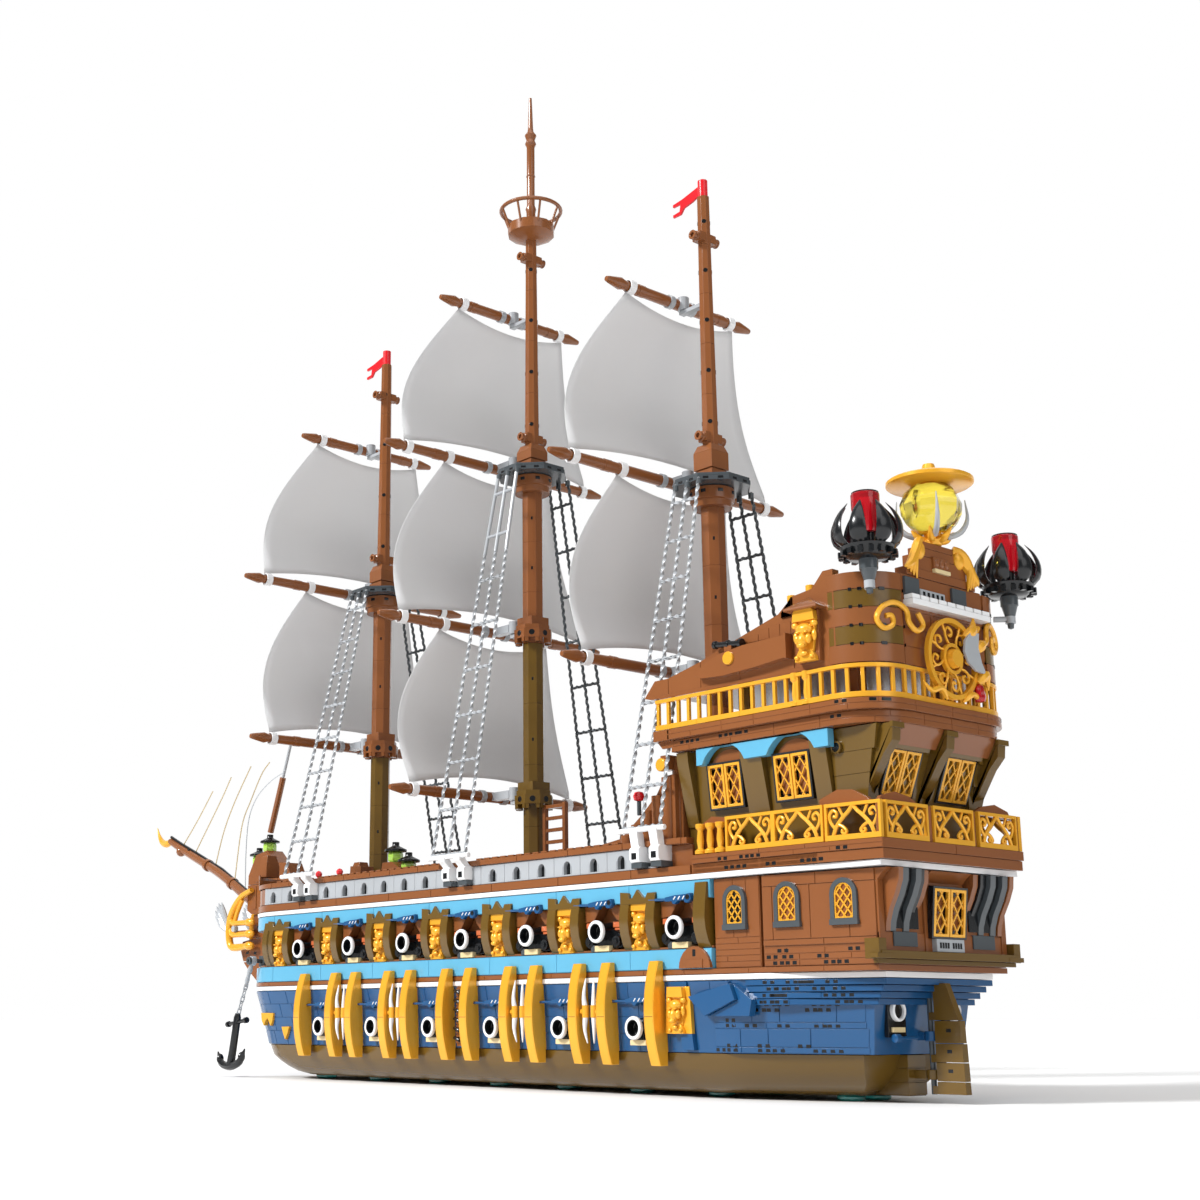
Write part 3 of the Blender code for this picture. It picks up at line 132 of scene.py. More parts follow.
# %% [markdown]
# ## Plastics
# A toy brick is ABS: dense, opaque and very smooth, since it leaves a polished steel mould.
# Its look is a clean colour, a roughness near 0.25 and hardly any texture, apart from a slight
# waviness where the plastic shrank. Clear pieces are polycarbonate, and the sails are frosted film.

# %% Colours and plastics
def linear(hex_colour):
    """An sRGB hex value as the linear colour that shaders want."""
    parts = [int(hex_colour[i:i + 2], 16) / 255 for i in (1, 3, 5)]
    return (*[c / 12.92 if c <= 0.04045 else ((c + 0.055) / 1.055) ** 2.4 for c in parts], 1)


def plastic(name, dark, light, roughness=0.22, wave=0.02):
    """Moulded ABS: the tone drifts a little from brick to brick, and the surface is barely wavy."""
    mat = bpy.data.materials.new(name)
    mat.use_nodes = True
    tree = mat.node_tree
    shader = tree.nodes["Principled BSDF"]
    place = add(tree, "ShaderNodeTexCoord").outputs["Object"]
    drift = add(tree, "ShaderNodeTexNoise", {"Vector": place, "Scale": 12, "Detail": 1})
    tone = add(tree, "ShaderNodeValToRGB", {"Fac": drift})
    tone.color_ramp.elements[0].position = 0.3
    tone.color_ramp.elements[0].color = linear(dark)
    tone.color_ramp.elements[1].position = 0.7
    tone.color_ramp.elements[1].color = linear(light)
    tree.links.new(tone.outputs["Color"], shader.inputs["Base Color"])
    # Shrink marks are some 6 mm across and a few hundredths of a millimetre deep.
    shrink = add(tree, "ShaderNodeTexNoise", {"Vector": place, "Scale": 160, "Detail": 1})
    bump = add(tree, "ShaderNodeBump", {"Height": shrink, "Strength": wave, "Distance": 0.0002})
    tree.links.new(bump.outputs["Normal"], shader.inputs["Normal"])
    # Handling rubs the gloss in patches of 2 to 3 mm.
    scuff = add(tree, "ShaderNodeTexNoise", {"Vector": place, "Scale": 420, "Detail": 3})
    rub = add(tree, "ShaderNodeMapRange", {"Value": scuff, "To Min": roughness - 0.02,
        "To Max": roughness + 0.03})
    tree.links.new(rub.outputs["Result"], shader.inputs["Roughness"])
    shader.inputs["IOR"].default_value = 1.53
    return mat


def clear_plastic(name, dark, light, roughness=0.06, through=0.85):
    """Moulded polycarbonate: tinted right through, glossy, with faint flow lines from the mould."""
    mat = plastic(name, dark, light, roughness + 0.04, 0.08)
    shader = mat.node_tree.nodes["Principled BSDF"]
    shader.inputs["Transmission Weight"].default_value = through
    shader.inputs["IOR"].default_value = 1.58
    return mat


brown = plastic("reddish brown ABS", "#824d28", "#87512b")
olive = plastic("dark tan ABS", "#624916", "#674d19")
blue = plastic("blue ABS", "#164c7a", "#194f7e")
sky = plastic("light blue ABS", "#5ba5c6", "#5fa9ca")
gold = plastic("warm gold ABS", "#eaa92c", "#efaf32", 0.24)
gold.node_tree.nodes["Principled BSDF"].inputs["Metallic"].default_value = 0.25  # pearl pigment in the plastic
white = plastic("white ABS", "#e9eaeb", "#f1f2f3")
stone = plastic("light bluish grey ABS", "#a2a6aa", "#acb0b4")
slate = plastic("dark bluish grey ABS", "#43494d", "#4b5155")
black = plastic("black ABS", "#0c0e10", "#131619")
red = plastic("bright red ABS", "#d3121e", "#dc1c26")
tan = plastic("tan ABS", "#dcc797", "#e4cf9f")
orange = plastic("nougat ABS", "#bf6238", "#c96b40")
amber = clear_plastic("clear yellow polycarbonate", "#f0d94a", "#f4de54", 0.03, 0.97)
ruby = clear_plastic("clear red polycarbonate", "#d01020", "#e01828", through=0.6)
teal = clear_plastic("clear teal polycarbonate", "#3fc4bd", "#58d3cb", through=0.5)
neon = clear_plastic("clear green polycarbonate", "#bdf060", "#c6f46a", through=0.3)
SLOTS = {brown: "brown_plastic", olive: "dark_tan_plastic", blue: "blue_plastic", sky: "light_blue_plastic",
    gold: "gold_plastic", white: "white_plastic", stone: "light_grey_plastic", slate: "dark_grey_plastic",
    black: "black_plastic", amber: "clear_yellow_plastic"}
BY_SLOT = {slot: mat for mat, slot in SLOTS.items()}
# The sails are a thin frosted film: a third of the light goes through it, so they glow softly from behind.
film = plastic("translucent polypropylene film", "#dededf", "#e4e4e4", 0.5, 0.05)
tree = film.node_tree
glow = add(tree, "ShaderNodeBsdfTranslucent", {"Color": linear("#e6e6e6")})
both_sides = add(tree, "ShaderNodeMixShader", {0: 0.35, 1: tree.nodes["Principled BSDF"], 2: glow})
tree.links.new(both_sides.outputs["Shader"], tree.nodes["Material Output"].inputs["Surface"])
SLOTS[film] = "sail_film"
BY_SLOT["sail_film"] = film
print("plastics:", len(bpy.data.materials))

for part in frame["record"]["subparts"]:
    cad = frame["nodes"][part["node"]]
    cad.data.materials.clear()
    cad.data.materials.append(BY_SLOT[part["material_slot"]])

# %% [markdown]
# ## Shapes
# A brick toy is hundreds of small closed shapes, so we first make a few tools that put blocks, rods,
# turned shapes, cut-out plates and swept bars into a bmesh, all in millimetres.
# A `Pile` gathers the shapes of one region, sorted by plastic, and turns each plastic into one object.

# %% Blocks, rods, turned shapes, plates and bars
def at(point, degrees=0, axis="Z"):
    """A place at a point, turned about an axis through it."""
    return Matrix.Translation(point) @ Matrix.Rotation(radians(degrees), 4, axis)


def block(bm, x0, x1, y0, y1, z0, z1, place=None):
    """A straight block between two values on each axis."""
    made = bmesh.ops.create_cube(bm, size=1)["verts"]
    sizes = (abs(x1 - x0), abs(y1 - y0), abs(z1 - z0), 1)
    fit = Matrix.Translation(((x0 + x1) / 2, (y0 + y1) / 2, (z0 + z1) / 2)) @ Matrix.Diagonal(sizes)
    bmesh.ops.transform(bm, matrix=(place or Matrix()) @ fit, verts=made)


def rod(bm, a, b, r0, r1=None, sides=16, turn=0):
    """A round or many-sided rod from a to b, straight or tapered."""
    a, b = Vector(a), Vector(b)
    made = bmesh.ops.create_cone(bm, cap_ends=True, segments=sides, radius1=r0, radius2=r0 if r1 is None else r1,
        depth=(b - a).length)["verts"]
    lean = (b - a).to_track_quat("Z", "Y").to_matrix().to_4x4()
    bmesh.ops.transform(bm, matrix=Matrix.Translation((a + b) / 2) @ lean @ Matrix.Rotation(turn, 4, "Z"),
        verts=made)


def ball(bm, centre, radius, sides=12, stretch=(1, 1, 1)):
    """A ball, which the stretch makes an egg or a button."""
    made = bmesh.ops.create_uvsphere(bm, u_segments=sides, v_segments=sides // 2 + 2, radius=radius)["verts"]
    bmesh.ops.transform(bm, matrix=Matrix.Translation(centre) @ Matrix.Diagonal((*stretch, 1)), verts=made)
    return made


def skin(bm, rings, closed=False):
    """Faces between rings of points: a ring of one point is a tip."""
    rings = [[bm.verts.new(p) for p in ring] for ring in rings]
    sides = max(len(ring) for ring in rings)
    for low, high in zip(rings, rings[1:] + (rings[:1] if closed else [])):
        for i in range(sides):
            j = i + 1
            quad = dict.fromkeys((low[i % len(low)], low[j % len(low)], high[j % len(high)], high[i % len(high)]))
            if len(quad) > 2:
                bm.faces.new(list(quad))
    if not closed:
        for ring in (rings[0], rings[-1]):
            if len(ring) > 2:
                bm.faces.new(ring)


def turned(bm, profile, place=(0, 0, 0), sides=24, axis="Z", loop=False):
    """A turned shape from (radius, height) points. A loop is a ring with a hole."""
    lean = {"Z": Matrix(), "Y": Matrix.Rotation(radians(-90), 4, "X"), "X": Matrix.Rotation(radians(90), 4, "Y")}
    fit = place if isinstance(place, Matrix) else Matrix.Translation(place) @ lean[axis]
    rings = []
    for r, h in profile:
        turn = [tau * i / sides for i in range(sides)] if r > 0.001 else [0]
        rings.append([fit @ Vector((r * cos(a), r * sin(a), h)) for a in turn])
    skin(bm, rings, loop)


def hoop(bm, inner, outer, low, high, place, sides=16, axis="Z"):
    """A ring with square edges, or a disc if its hole is 0 wide."""
    turned(bm, [(inner, low), (outer, low), (outer, high), (inner, high)], place, sides, axis, inner > 0)


# How a flat outline lies: upright along the ship, upright across it, or level.
LAYS = {"side": lambda u, v, w: (u, w, v), "cross": lambda u, v, w: (w, u, v), "deck": lambda u, v, w: (u, v, w)}


def slab(bm, outlines, lo, hi, plane="side", place=None):
    """Flat outlines, holes after the first, thick from lo to hi across their plane."""
    place = place or Matrix()
    ends = [[bm.verts.new(place @ Vector(LAYS[plane](u, v, w))) for ring in outlines for u, v in ring]
        for w in (lo, hi)]
    if len(outlines) == 1:
        for end in ends:
            bm.faces.new(end)
    else:
        for a, b, c in tessellate_polygon([[Vector((u, v, 0)) for u, v in ring] for ring in outlines]):
            for end in ends:
                bm.faces.new((end[a], end[b], end[c]))
    start = 0
    for ring in outlines:
        for i in range(len(ring)):
            j = start + (i + 1) % len(ring)
            bm.faces.new((ends[0][start + i], ends[0][j], ends[1][j], ends[1][start + i]))
        start += len(ring)


def sweep(bm, points, radius, sides=8, closed=False):
    """A round bar along the points, with one radius or one for each point."""
    points = [Vector(p) for p in points]
    count = len(points)
    radii = radius if isinstance(radius, (list, tuple)) else [radius] * count
    rings = []
    side = None
    for i, p in enumerate(points):
        after = points[(i + 1) % count] if closed else points[min(i + 1, count - 1)]
        before = points[i - 1] if closed else points[max(i - 1, 0)]
        ahead = (after - before).normalized()
        side = ahead.orthogonal() if side is None else side
        side = (side - ahead * side.dot(ahead)).normalized()
        up = ahead.cross(side)
        rings.append([p + radii[i] * (side * cos(tau * k / sides) + up * sin(tau * k / sides))
            for k in range(sides)])
    skin(bm, rings, closed)


def through(points, steps=6):
    """A smooth line through the points."""
    points = [Vector(p) for p in points]
    ends = [2 * points[0] - points[1], *points, 2 * points[-1] - points[-2]]
    line = []
    for a, b, c, d in zip(ends, ends[1:], ends[2:], ends[3:]):
        for k in range(steps):
            t = k / steps
            line.append(0.5 * (2 * b + (c - a) * t + (2 * a - 5 * b + 4 * c - d) * t ** 2
                + (3 * b - a - 3 * c + d) * t ** 3))
    return line + [points[-1]]


def arc(cx, cy, radius, start, end, steps):
    """Points on an arc, angles in degrees."""
    turns = [radians(start + (end - start) * i / steps) for i in range(steps + 1)]
    return [(cx + radius * cos(a), cy + radius * sin(a)) for a in turns]


def whole(half):
    """A port outline closed with its starboard twin."""
    return half + [(x, -y) for x, y in reversed(half) if abs(y) > 1e-6]


# %% [markdown]
# ## Copies
# Guns, masks, ribs and windows repeat along the ship. A Geometry Nodes tree sets a finished piece on
# points, each with a turn and a size of its own: a size of -1 across the ship makes the starboard twin.
# The copies are realized, given their plastic and kept as one plain mesh.

# %% The copies tree and the pile
def new_tree(name, inputs):
    """An empty Geometry Nodes tree with named inputs, and the sockets that give them."""
    tree = bpy.data.node_groups.new(name, "GeometryNodeTree")
    for label, kind in inputs:
        tree.interface.new_socket(label, in_out="INPUT", socket_type="NodeSocket" + kind)
    tree.interface.new_socket("Geometry", in_out="OUTPUT", socket_type="NodeSocketGeometry")
    return tree, add(tree, "NodeGroupInput").outputs


def paint(tree, given, shape):
    """The end of every tree: the shape takes its plastic and leaves the tree."""
    coloured = add(tree, "GeometryNodeSetMaterial", {"Geometry": shape, "Material": given["Plastic"]})
    add(tree, "NodeGroupOutput", {"Geometry": coloured})


def plant(tree, given, points, piece, **spots):
    """Stands real copies of the piece on the points and paints them."""
    info = add(tree, "GeometryNodeObjectInfo", {"Object": given[piece]})
    put = add(tree, "GeometryNodeInstanceOnPoints", {"Points": points, "Instance": info.outputs["Geometry"],
        **spots})
    solid = add(tree, "GeometryNodeRealizeInstances", {"Geometry": put})
    paint(tree, given, solid)


copies, given = new_tree("copies on points", (("Geometry", "Geometry"), ("Piece", "Object"),
    ("Plastic", "Material")))
turn = add(copies, "GeometryNodeInputNamedAttribute", {"Name": "turn"}, data_type="FLOAT_VECTOR")
size = add(copies, "GeometryNodeInputNamedAttribute", {"Name": "size"}, data_type="FLOAT_VECTOR")
angle = add(copies, "FunctionNodeEulerToRotation", {"Euler": turn})
plant(copies, given, given["Geometry"], "Piece", Rotation=angle, Scale=size)


def smooth(mesh):
    """Round faces shade softly, and edges over 35 degrees stay crisp."""
    mesh.shade_smooth()
    mesh.set_sharp_from_angle(angle=radians(35))


def belong(obj, body, mat):
    """Says which body the object moves with."""
    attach(obj, body)
    if mat in SLOTS:
        SLOTS[mat]


def run_tree(source, tree, values, name):
    """Runs a tree on an object, with its inputs by name, and returns the result as a plain mesh object."""
    step = source.modifiers.new(tree.name, "NODES")
    step.node_group = tree
    for item in tree.interface.items_tree:
        if item.item_type == "SOCKET" and item.in_out == "INPUT" and item.name in values:
            step[item.identifier] = values[item.name]
    bpy.context.view_layer.update()
    mesh = bpy.data.meshes.new_from_object(source.evaluated_get(bpy.context.evaluated_depsgraph_get()))
    bm = bmesh.new()
    bm.from_mesh(mesh)
    bmesh.ops.recalc_face_normals(bm, faces=bm.faces)
    bm.to_mesh(mesh)
    bm.free()
    smooth(mesh)
    bpy.data.objects.remove(source)
    return show(name, mesh)


def run_tree_with(piece, source, tree, values):
    """Runs a tree that uses a piece, and puts the result in the piece's stead."""
    name = piece.name
    piece.name = name + "_one"
    made = run_tree(source, tree, values, name)
    bpy.data.objects.remove(piece)
    return made


def copy_to(piece, places, plastic_used):
    """Copies of a piece at places, each a (point in mm, turn, size)."""
    points = bpy.data.meshes.new("points")
    points.from_pydata([Vector(p[0]) * MM for p in places], [], [])
    for label, column in (("turn", 1), ("size", 2)):
        layer = points.attributes.new(label, "FLOAT_VECTOR", "POINT")
        for item, p in zip(layer.data, places):
            item.vector = p[column]
    return run_tree_with(piece, show("points", points), copies, {"Piece": piece, "Plastic": plastic_used})


def along_ship(xs):
    """Places in a row, on the port side and mirrored on the starboard side."""
    return [((x, 0, 0), (0, 0, 0), (1, side, 1)) for side in (1, -1) for x in xs]


class Pile:
    """The shapes of one region, sorted by plastic. Each plastic becomes one object of the toy."""

    def __init__(self, region, body="ship"):
        self.region = region
        self.body = body
        self.shapes = {}

    def __getitem__(self, plastic_used):
        if plastic_used not in self.shapes:
            self.shapes[plastic_used] = bmesh.new()
        return self.shapes[plastic_used]

    def finish(self, bevel=0.2, replaces=(), places=None, both=False):
        """Makes the objects: bevelled, mirrored if on both sides, and copied to the places if any."""
        made = []
        for mat, bm in self.shapes.items():
            if both:
                twin = bmesh.ops.duplicate(bm, geom=bm.verts[:] + bm.edges[:] + bm.faces[:])["geom"]
                bmesh.ops.scale(bm, vec=(1, -1, 1), verts=[v for v in twin if isinstance(v, bmesh.types.BMVert)])
            bmesh.ops.scale(bm, vec=(MM, MM, MM), verts=bm.verts)
            bmesh.ops.recalc_face_normals(bm, faces=bm.faces)
            name = self.region + "_" + mat.name.split(" ABS")[0].split(" poly")[0].replace(" ", "_")
            mesh = bpy.data.meshes.new(name)
            bm.to_mesh(mesh)
            bm.free()
            mesh.materials.append(mat)
            smooth(mesh)
            obj = show(name, mesh)
            if bevel:
                edge = obj.modifiers.new("moulded edge", "BEVEL")
                edge.width = bevel * MM
                edge.segments = 1
                edge.limit_method = "ANGLE"
                edge.angle_limit = radians(40)
                edge.harden_normals = places is None
            if places:
                obj = copy_to(obj, places, mat)
            belong(obj, self.body, mat)
            made.append(obj)
        if replaces:
            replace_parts(made[0], *replaces)
        print(self.region, "pieces:", [obj.name for obj in made])
        return made


# %% [markdown]
# ## The hull
# On the toy the hull is stacked from bricks, so its blue band shows the joints between them: hair-fine
# grooves, and rows of slots where a plate is one stud short, whose shade is painted with black blocks.
# We lay thin bricks along the hull's own outline, a little proud of a plain core, and let the gaps between them make
# the joints.

# %% Outlines and courses of bricks
STUD = 8  # the toy's grid, in mm as all lengths here
GUN_STEP = 8 * STUD
BOW_START = 147
BOW_REACH = 62
STERN_BEND = -341.5  # where the stern wall turns inwards
STERNPOST = -402  # the line on which the rudder turns


def side_line(half, bow_start, reach, stern_x, stern_half, bend=None, steps=16):
    """The port side of the hull in plan, from the stern to the stem."""
    points = [(stern_x, stern_half), (bend if bend is not None else stern_x + 75, half)]
    if stern_half == half:
        points.pop()
    for i in range(steps + 1):
        a = pi / 2 * i / steps
        points.append((bow_start + reach * sin(a), half * cos(a) if i < steps else 0))
    return points


def blue_line(z):
    """The blue band narrows downwards, so its outline at a height is a mix of two of these three."""
    rings = [(24.8, (62, 132, 56, -394, 38)), (50, (63.2, 141, 60, -397.6, 40.5)),
        (63.3, (64, 147, 61, -399, 40.5))]
    low, high = (rings[0], rings[1]) if z < 50 else (rings[1], rings[2])
    share = (z - low[0]) / (high[0] - low[0])
    return side_line(*[a + (b - a) * share for a, b in zip(low[1], high[1])])


class Line:
    """A plan line that gives the point and the outward direction at a share of its length.

    The outline is a list of points, or a function that gives them at a height.
    """

    def __init__(self, outline, z):
        self.points = [Vector(p) for p in (outline(z) if callable(outline) else outline)]
        self.marks = [0]
        for a, b in zip(self.points, self.points[1:]):
            self.marks.append(self.marks[-1] + (b - a).length)
        self.length = self.marks[-1]

    def at(self, t):
        s = min(max(t, 0), 1) * self.length
        i = max(k for k in range(len(self.marks) - 1) if self.marks[k] <= s + 1e-9)
        a, b = self.points[i], self.points[i + 1]
        ahead = (b - a).normalized()
        return a + ahead * (s - self.marks[i]), Vector((-ahead.y, ahead.x))

    def share(self, x):
        """The share of the length at which the line reaches x."""
        for i, (a, b) in enumerate(zip(self.points, self.points[1:])):
            if a.x <= x <= b.x:
                return (self.marks[i] + (x - a.x) / max(b.x - a.x, 1e-6) * (b - a).length) / self.length
        return 0 if x < self.points[0].x else 1


def brick(bm, low, high, t0, t1, z0, z1, out=0.35, deep=1):
    """A thin brick on the hull, bent as the hull is."""
    stops = [t0] + [m / low.length for m in low.marks if t0 + 0.002 < m / low.length < t1 - 0.002] + [t1]
    rings = []
    for t in stops:
        ring = []
        for line, z, push in ((low, z0, out), (high, z1, out), (high, z1, -deep), (low, z0, -deep)):
            point, away = line.at(min(max(t, t0 + 1e-4), t1 - 1e-4))
            ring.append((*(point + away * push), z))
        rings.append(ring)
    skin(bm, rings)


def course(bm, outline, z0, z1, x0, x1, lengths, dice, out=0.35, gap=0.28):
    """One course of bricks from x0 to x1, in lengths that the dice choose."""
    low, high = Line(outline, z0), Line(outline, z1)
    s = low.share(x0) * low.length
    end = low.share(x1) * low.length
    while s < end - 3:
        step = min(dice.choice(lengths), end - s)
        if end - s - step < 6:
            step = end - s
        brick(bm, low, high, (s + gap / 2) / low.length, (s + step - gap / 2) / low.length, z0 + gap / 2,
            z1 - gap / 2, out)
        s += step


def slots(bm, outline, z, xs, out=0.42, wide=2.7, high=2.1):
    """Pairs of black blocks that paint the shade inside the openings where a plate is left out."""
    line = Line(outline, z)
    for x in xs:
        for dx in (-2.2, 2.2):
            t0, t1 = line.share(x + dx - wide / 2), line.share(x + dx + wide / 2)
            brick(bm, line, line, t0, t1, z - high / 2, z + high / 2, out)


dice = random.Random(7)

# %% Bottom, blue band and counter
bottom = Pile("bottom")
rings = [(3.2, side_line(44, 100, 52, -368, 16)), (5.5, side_line(49.5, 110, 52.5, -373, 21.5)),
    (9, side_line(53.5, 118, 53, -378, 26)), (13, side_line(57.2, 123.5, 54.2, -381, 30.5)),
    (17, side_line(60, 128, 55, -384, 34)), (24.5, side_line(61.5, 131, 56, -387, 38))]
skin(bottom[olive], [[(x, y, z) for x, y in whole(half)] for z, half in rings])
block(bottom[olive], -391.3, -360, -7.5, 7.5, 3.4, 24.3)
for z in (3.9, 11, 18):
    block(bottom[olive], -391.8, -372, -7.8, 7.8, z, z + 6.4)
for x in (126, 58, -12, -78, -144, -210, -274, -356):
    for side in (-1, 1):
        turned(bottom[teal], [(0, 0), (6.6, 0), (7.8, 1), (7.8, 2.4), (6, 4.2), (0, 4.2)],
            (x, side * (11 if x < -300 else 24), 0), 20)


def eye(bm, x, z):
    """An eye that takes the rudder's rod."""
    hoop(bm, 1.95, 3.4, z, z + 5, (STERNPOST, 0, 0))
    block(bm, -399.2, x, -2.6, 2.6, z + 0.3, z + 4.7)


eye(bottom[olive], -389, 12)
bottom.finish(0.25, ["hull_bottom"])

band = Pile("blue_band")
skin(band[blue], [[(x, y, z) for x, y in whole(blue_line(z))] for z in (24.8, 37, 50, 63.3)])
for z0, z1 in ((25, 34.6), (34.6, 44.2), (44.2, 53.8), (53.8, 63.2)):
    course(band[blue], blue_line, z0, z1, -272, 207, (16, 24, 32), dice)
for z0, z1 in ((25, 28.2), (28.2, 37.8), (37.8, 41), (41, 50.6)):
    course(band[blue], blue_line, z0, z1, -392, -306, (16, 24, 32) if z1 - z0 > 4 else (24, 32, 48), dice)
for z, xs in ((26.6, (-310, -318, -336, -344, -366, -375)), (28.9, (-318, -336, -358)),
        (39.4, (-318, -330, -348, -368, -375)), (42.2, (-318,)), (47.5, (-336, -343, -364, -371)),
        (50.4, (-342, -349, -368, -376))):
    slots(band[black], blue_line, z, xs)
for i, (x, half) in enumerate([(-401.3, 41.5), (-404, 43), (-407, 44.6), (-410.2, 46)]):
    z = 63.3 - (4 - i) * 3.4
    edge_line = [(x, half), (STERN_BEND - 4 + i, 62.4 + 0.4 * i), (-330, 62.4 + 0.4 * i)]
    slab(band[blue], [whole(edge_line)], z + 0.25, z + 3.4, "deck")
    course(band[blue], edge_line, z + 0.2, z + 3.4, x + 0.2, -331, (24, 32, 48), dice, 0.3)
    slots(band[black], edge_line, z + 1.8, [-338 - 7 * i, -345 - 7 * i, -352 + 2 * i, -383 + 5 * i, -390 + 3 * i],
        0.38, 2.6, 1.9)
# Under the forward end of the stern wall three wedges step back to the band.
for side in (-1, 1):
    for x0, x1, z0 in ((-306, -291, 49), (-320, -306.3, 44)):
        wedge = [(62.4, z0), (64, z0 + 2), (66.4, 62.8), (62.4, 62.8)]
        slab(band[blue], [[(side * y, z) for y, z in wedge]], x0, x1, "cross")
    slab(band[blue], [[(-284, 26), (-292.5, 26), (-287.5, 63), (-275, 63)]], side * 62, side * 65.2, "side")
eye(band[blue], -392, 31.5)
# A gun port on each side of the sternpost, with a thin spear across it.
for side in (-1, 1):
    turned(band[white], [(4, -398.4), (5.6, -398.4), (5.6, -400.6), (4.6, -401.2), (4, -400.4)],
        (0, side * 24, 47), 20, "X", True)
    rod(band[black], (-396, side * 24, 47), (-399.2, side * 24, 47), 4.3, sides=20)
    block(band[black], -398.6, -396, side * 24 - 7.5, side * 24 + 7.5, 33.5, 55.5)
    block(band[tan], -400, -396, side * 24 - 5, side * 24 + 5, 36, 38.6)
    rod(band[blue], (-400.6, side * 30, 33), (-400.6, side * 10, 33.4), 0.9, sides=8)
    turned(band[blue], [(0, 0), (2.3, 0.6), (2.3, 4.2), (0.9, 6), (0, 6)],
        at((-400.6, side * 30, 33), 90 * side, "X"), 10)
band.finish(0.18, ["hull_blue"])

# %% Coloured bands
def hull_line(half, reach=BOW_REACH, stern=(-307, None)):
    """The plan of an upright band, the same at every height."""
    return side_line(half, BOW_START, reach, stern[0], stern[1] or half, STERN_BEND)


bands = Pile("bands")
for mat, half, z0, z1, x0, stern, lengths in ((white, 64.6, 63.7, 66.4, -410, (-410.4, 46.2), (48, 64)),
        (brown, 64, 66.9, 69.6, -413, (STERN_BEND - 72, 55.6), (32, 48)),
        (sky, 64, 70.1, 80.8, -306.6, (-307, None), (64,)), (sky, 64, 108.6, 118.5, -306.6, (-307, None), (64,)),
        (white, 64.8, 119, 121.7, -420.8, (-421, 60), (48, 64))):
    course(bands[mat], hull_line(half, stern=stern), z0, z1, x0, 208.8, lengths, dice, 0.3)
bands.finish(0.15, both=True)

# %% [markdown]
# ## Guns
# Two rows of guns, 8 studs apart. The upper ones stand in openings between curved posts, each with a
# toy musket clipped above. A gun is turned about its own axis, with a real bore, so its muzzle ring
# catches light all round. One of each is modelled, and the tree copies it along both sides.

# %% Upper guns
UPPER_GUNS = [101 - GUN_STEP * i for i in range(7)]
LOWER_GUNS = [69 - GUN_STEP * i for i in range(6)]


def barrel(pile, y0, y1, z):
    """A bored black barrel from y0 to y1 with a white muzzle ring."""
    turned(pile[black], [(0, y0), (5.7, y0), (5.9, y0 + 3.2), (5.3, y0 + 4.4), (5, y1 - 3.4), (5.5, y1 - 3),
        (5.5, y1 - 0.4), (4.2, y1 - 0.2), (3.9, y1 - 5), (0, y1 - 5)], (0, 0, z), 20, "Y")
    turned(pile[white], [(4.4, y1 - 2.6), (6.3, y1 - 2.6), (6.6, y1 - 1.9), (6.6, y1 - 0.7), (6.2, y1), (4.9, y1),
        (4.4, y1 - 0.6)], (0, 0, z), 24, "Y", True)


def musket(pile, y, z, lift=0):
    """A toy musket lying fore and aft, its muzzle forward."""
    rod(pile[blue], (23, y, z + lift), (4, y, z), 0.9, sides=8)
    slab(pile[blue], [[(9, z - 1.1), (9, z + 1.3), (2, z + 2.2), (-7, z + 2.5), (-11, z + 3), (-11.5, z - 0.6),
        (-9, z - 2.6), (-6.5, z - 2.2), (-6, z - 0.8), (-1, z - 1), (1, z - 2.8), (3, z - 2.4), (3.6, z - 1)]],
        y - 1.5, y + 1.5)
    for dx in (-5, -1.5, 2):
        rod(pile[white], (dx, y + 1.4, z - 0.3), (dx - 1.6, y + 1.4, z + 1.5), 0.45, sides=6)
    hoop(pile[black], 0, 1.5, 0, 0.6, at((-9, y + 1.4, z + 0.8), -90, "X"), 10)


upper = Pile("upper_guns")
barrel(upper, 54, 70, 92.9)
slab(upper[black], [[(-14.5, 83.4), (14.5, 83.4), (14.5, 88.5), (11, 92.5), (6, 94), (-6, 94), (-11, 92.5),
    (-14.5, 88.5)]], 54.3, 61.5)
for side in (-1, 1):
    rod(upper[black], (side * 11.5, 55, 87.2), (side * 11.5, 64.2, 87.2), 3.3, sides=14)
    rod(upper[black], (side * 11.5, 64, 87.2), (side * 11.5, 65.2, 87.2), 1.6, sides=10)
    for size in ((side * 8.2, side * 14.8, 54.5, 63, 95.3, 98.4), (side * 9, side * 14, 54.5, 62.4, 93.6, 95)):
        block(upper[orange], *size)
    slab(upper[brown], [[(side * 4.5, 108.2), (side * 6.5, 103.5), (side * 10, 99.5), (side * 17.4, 98.8),
        (side * 17.4, 108.2)]], 54.5, 61.6)
block(upper[tan], -6.2, 6.2, 56, 64.6, 81.5, 84.9)
block(upper[slate], 7, 10.6, 56, 63.6, 81.5, 85.4)
musket(upper, 65.4, 108.6, 0.6)
upper.finish(0.2, places=along_ship(UPPER_GUNS))

# %% Lower guns
lower = Pile("lower_guns")
barrel(lower, 60, 71.8, 37.8)
block(lower[black], -4, 4, 60, 67, 31.3, 36)
block(lower[tan], -6.4, 6.4, 60, 67.6, 28.2, 31.2)
musket(lower, 67, 52.8)
block(lower[blue], -2, 2, 62, 67, 51.6, 53.4)
lower.finish(0.2, places=along_ship(LOWER_GUNS))

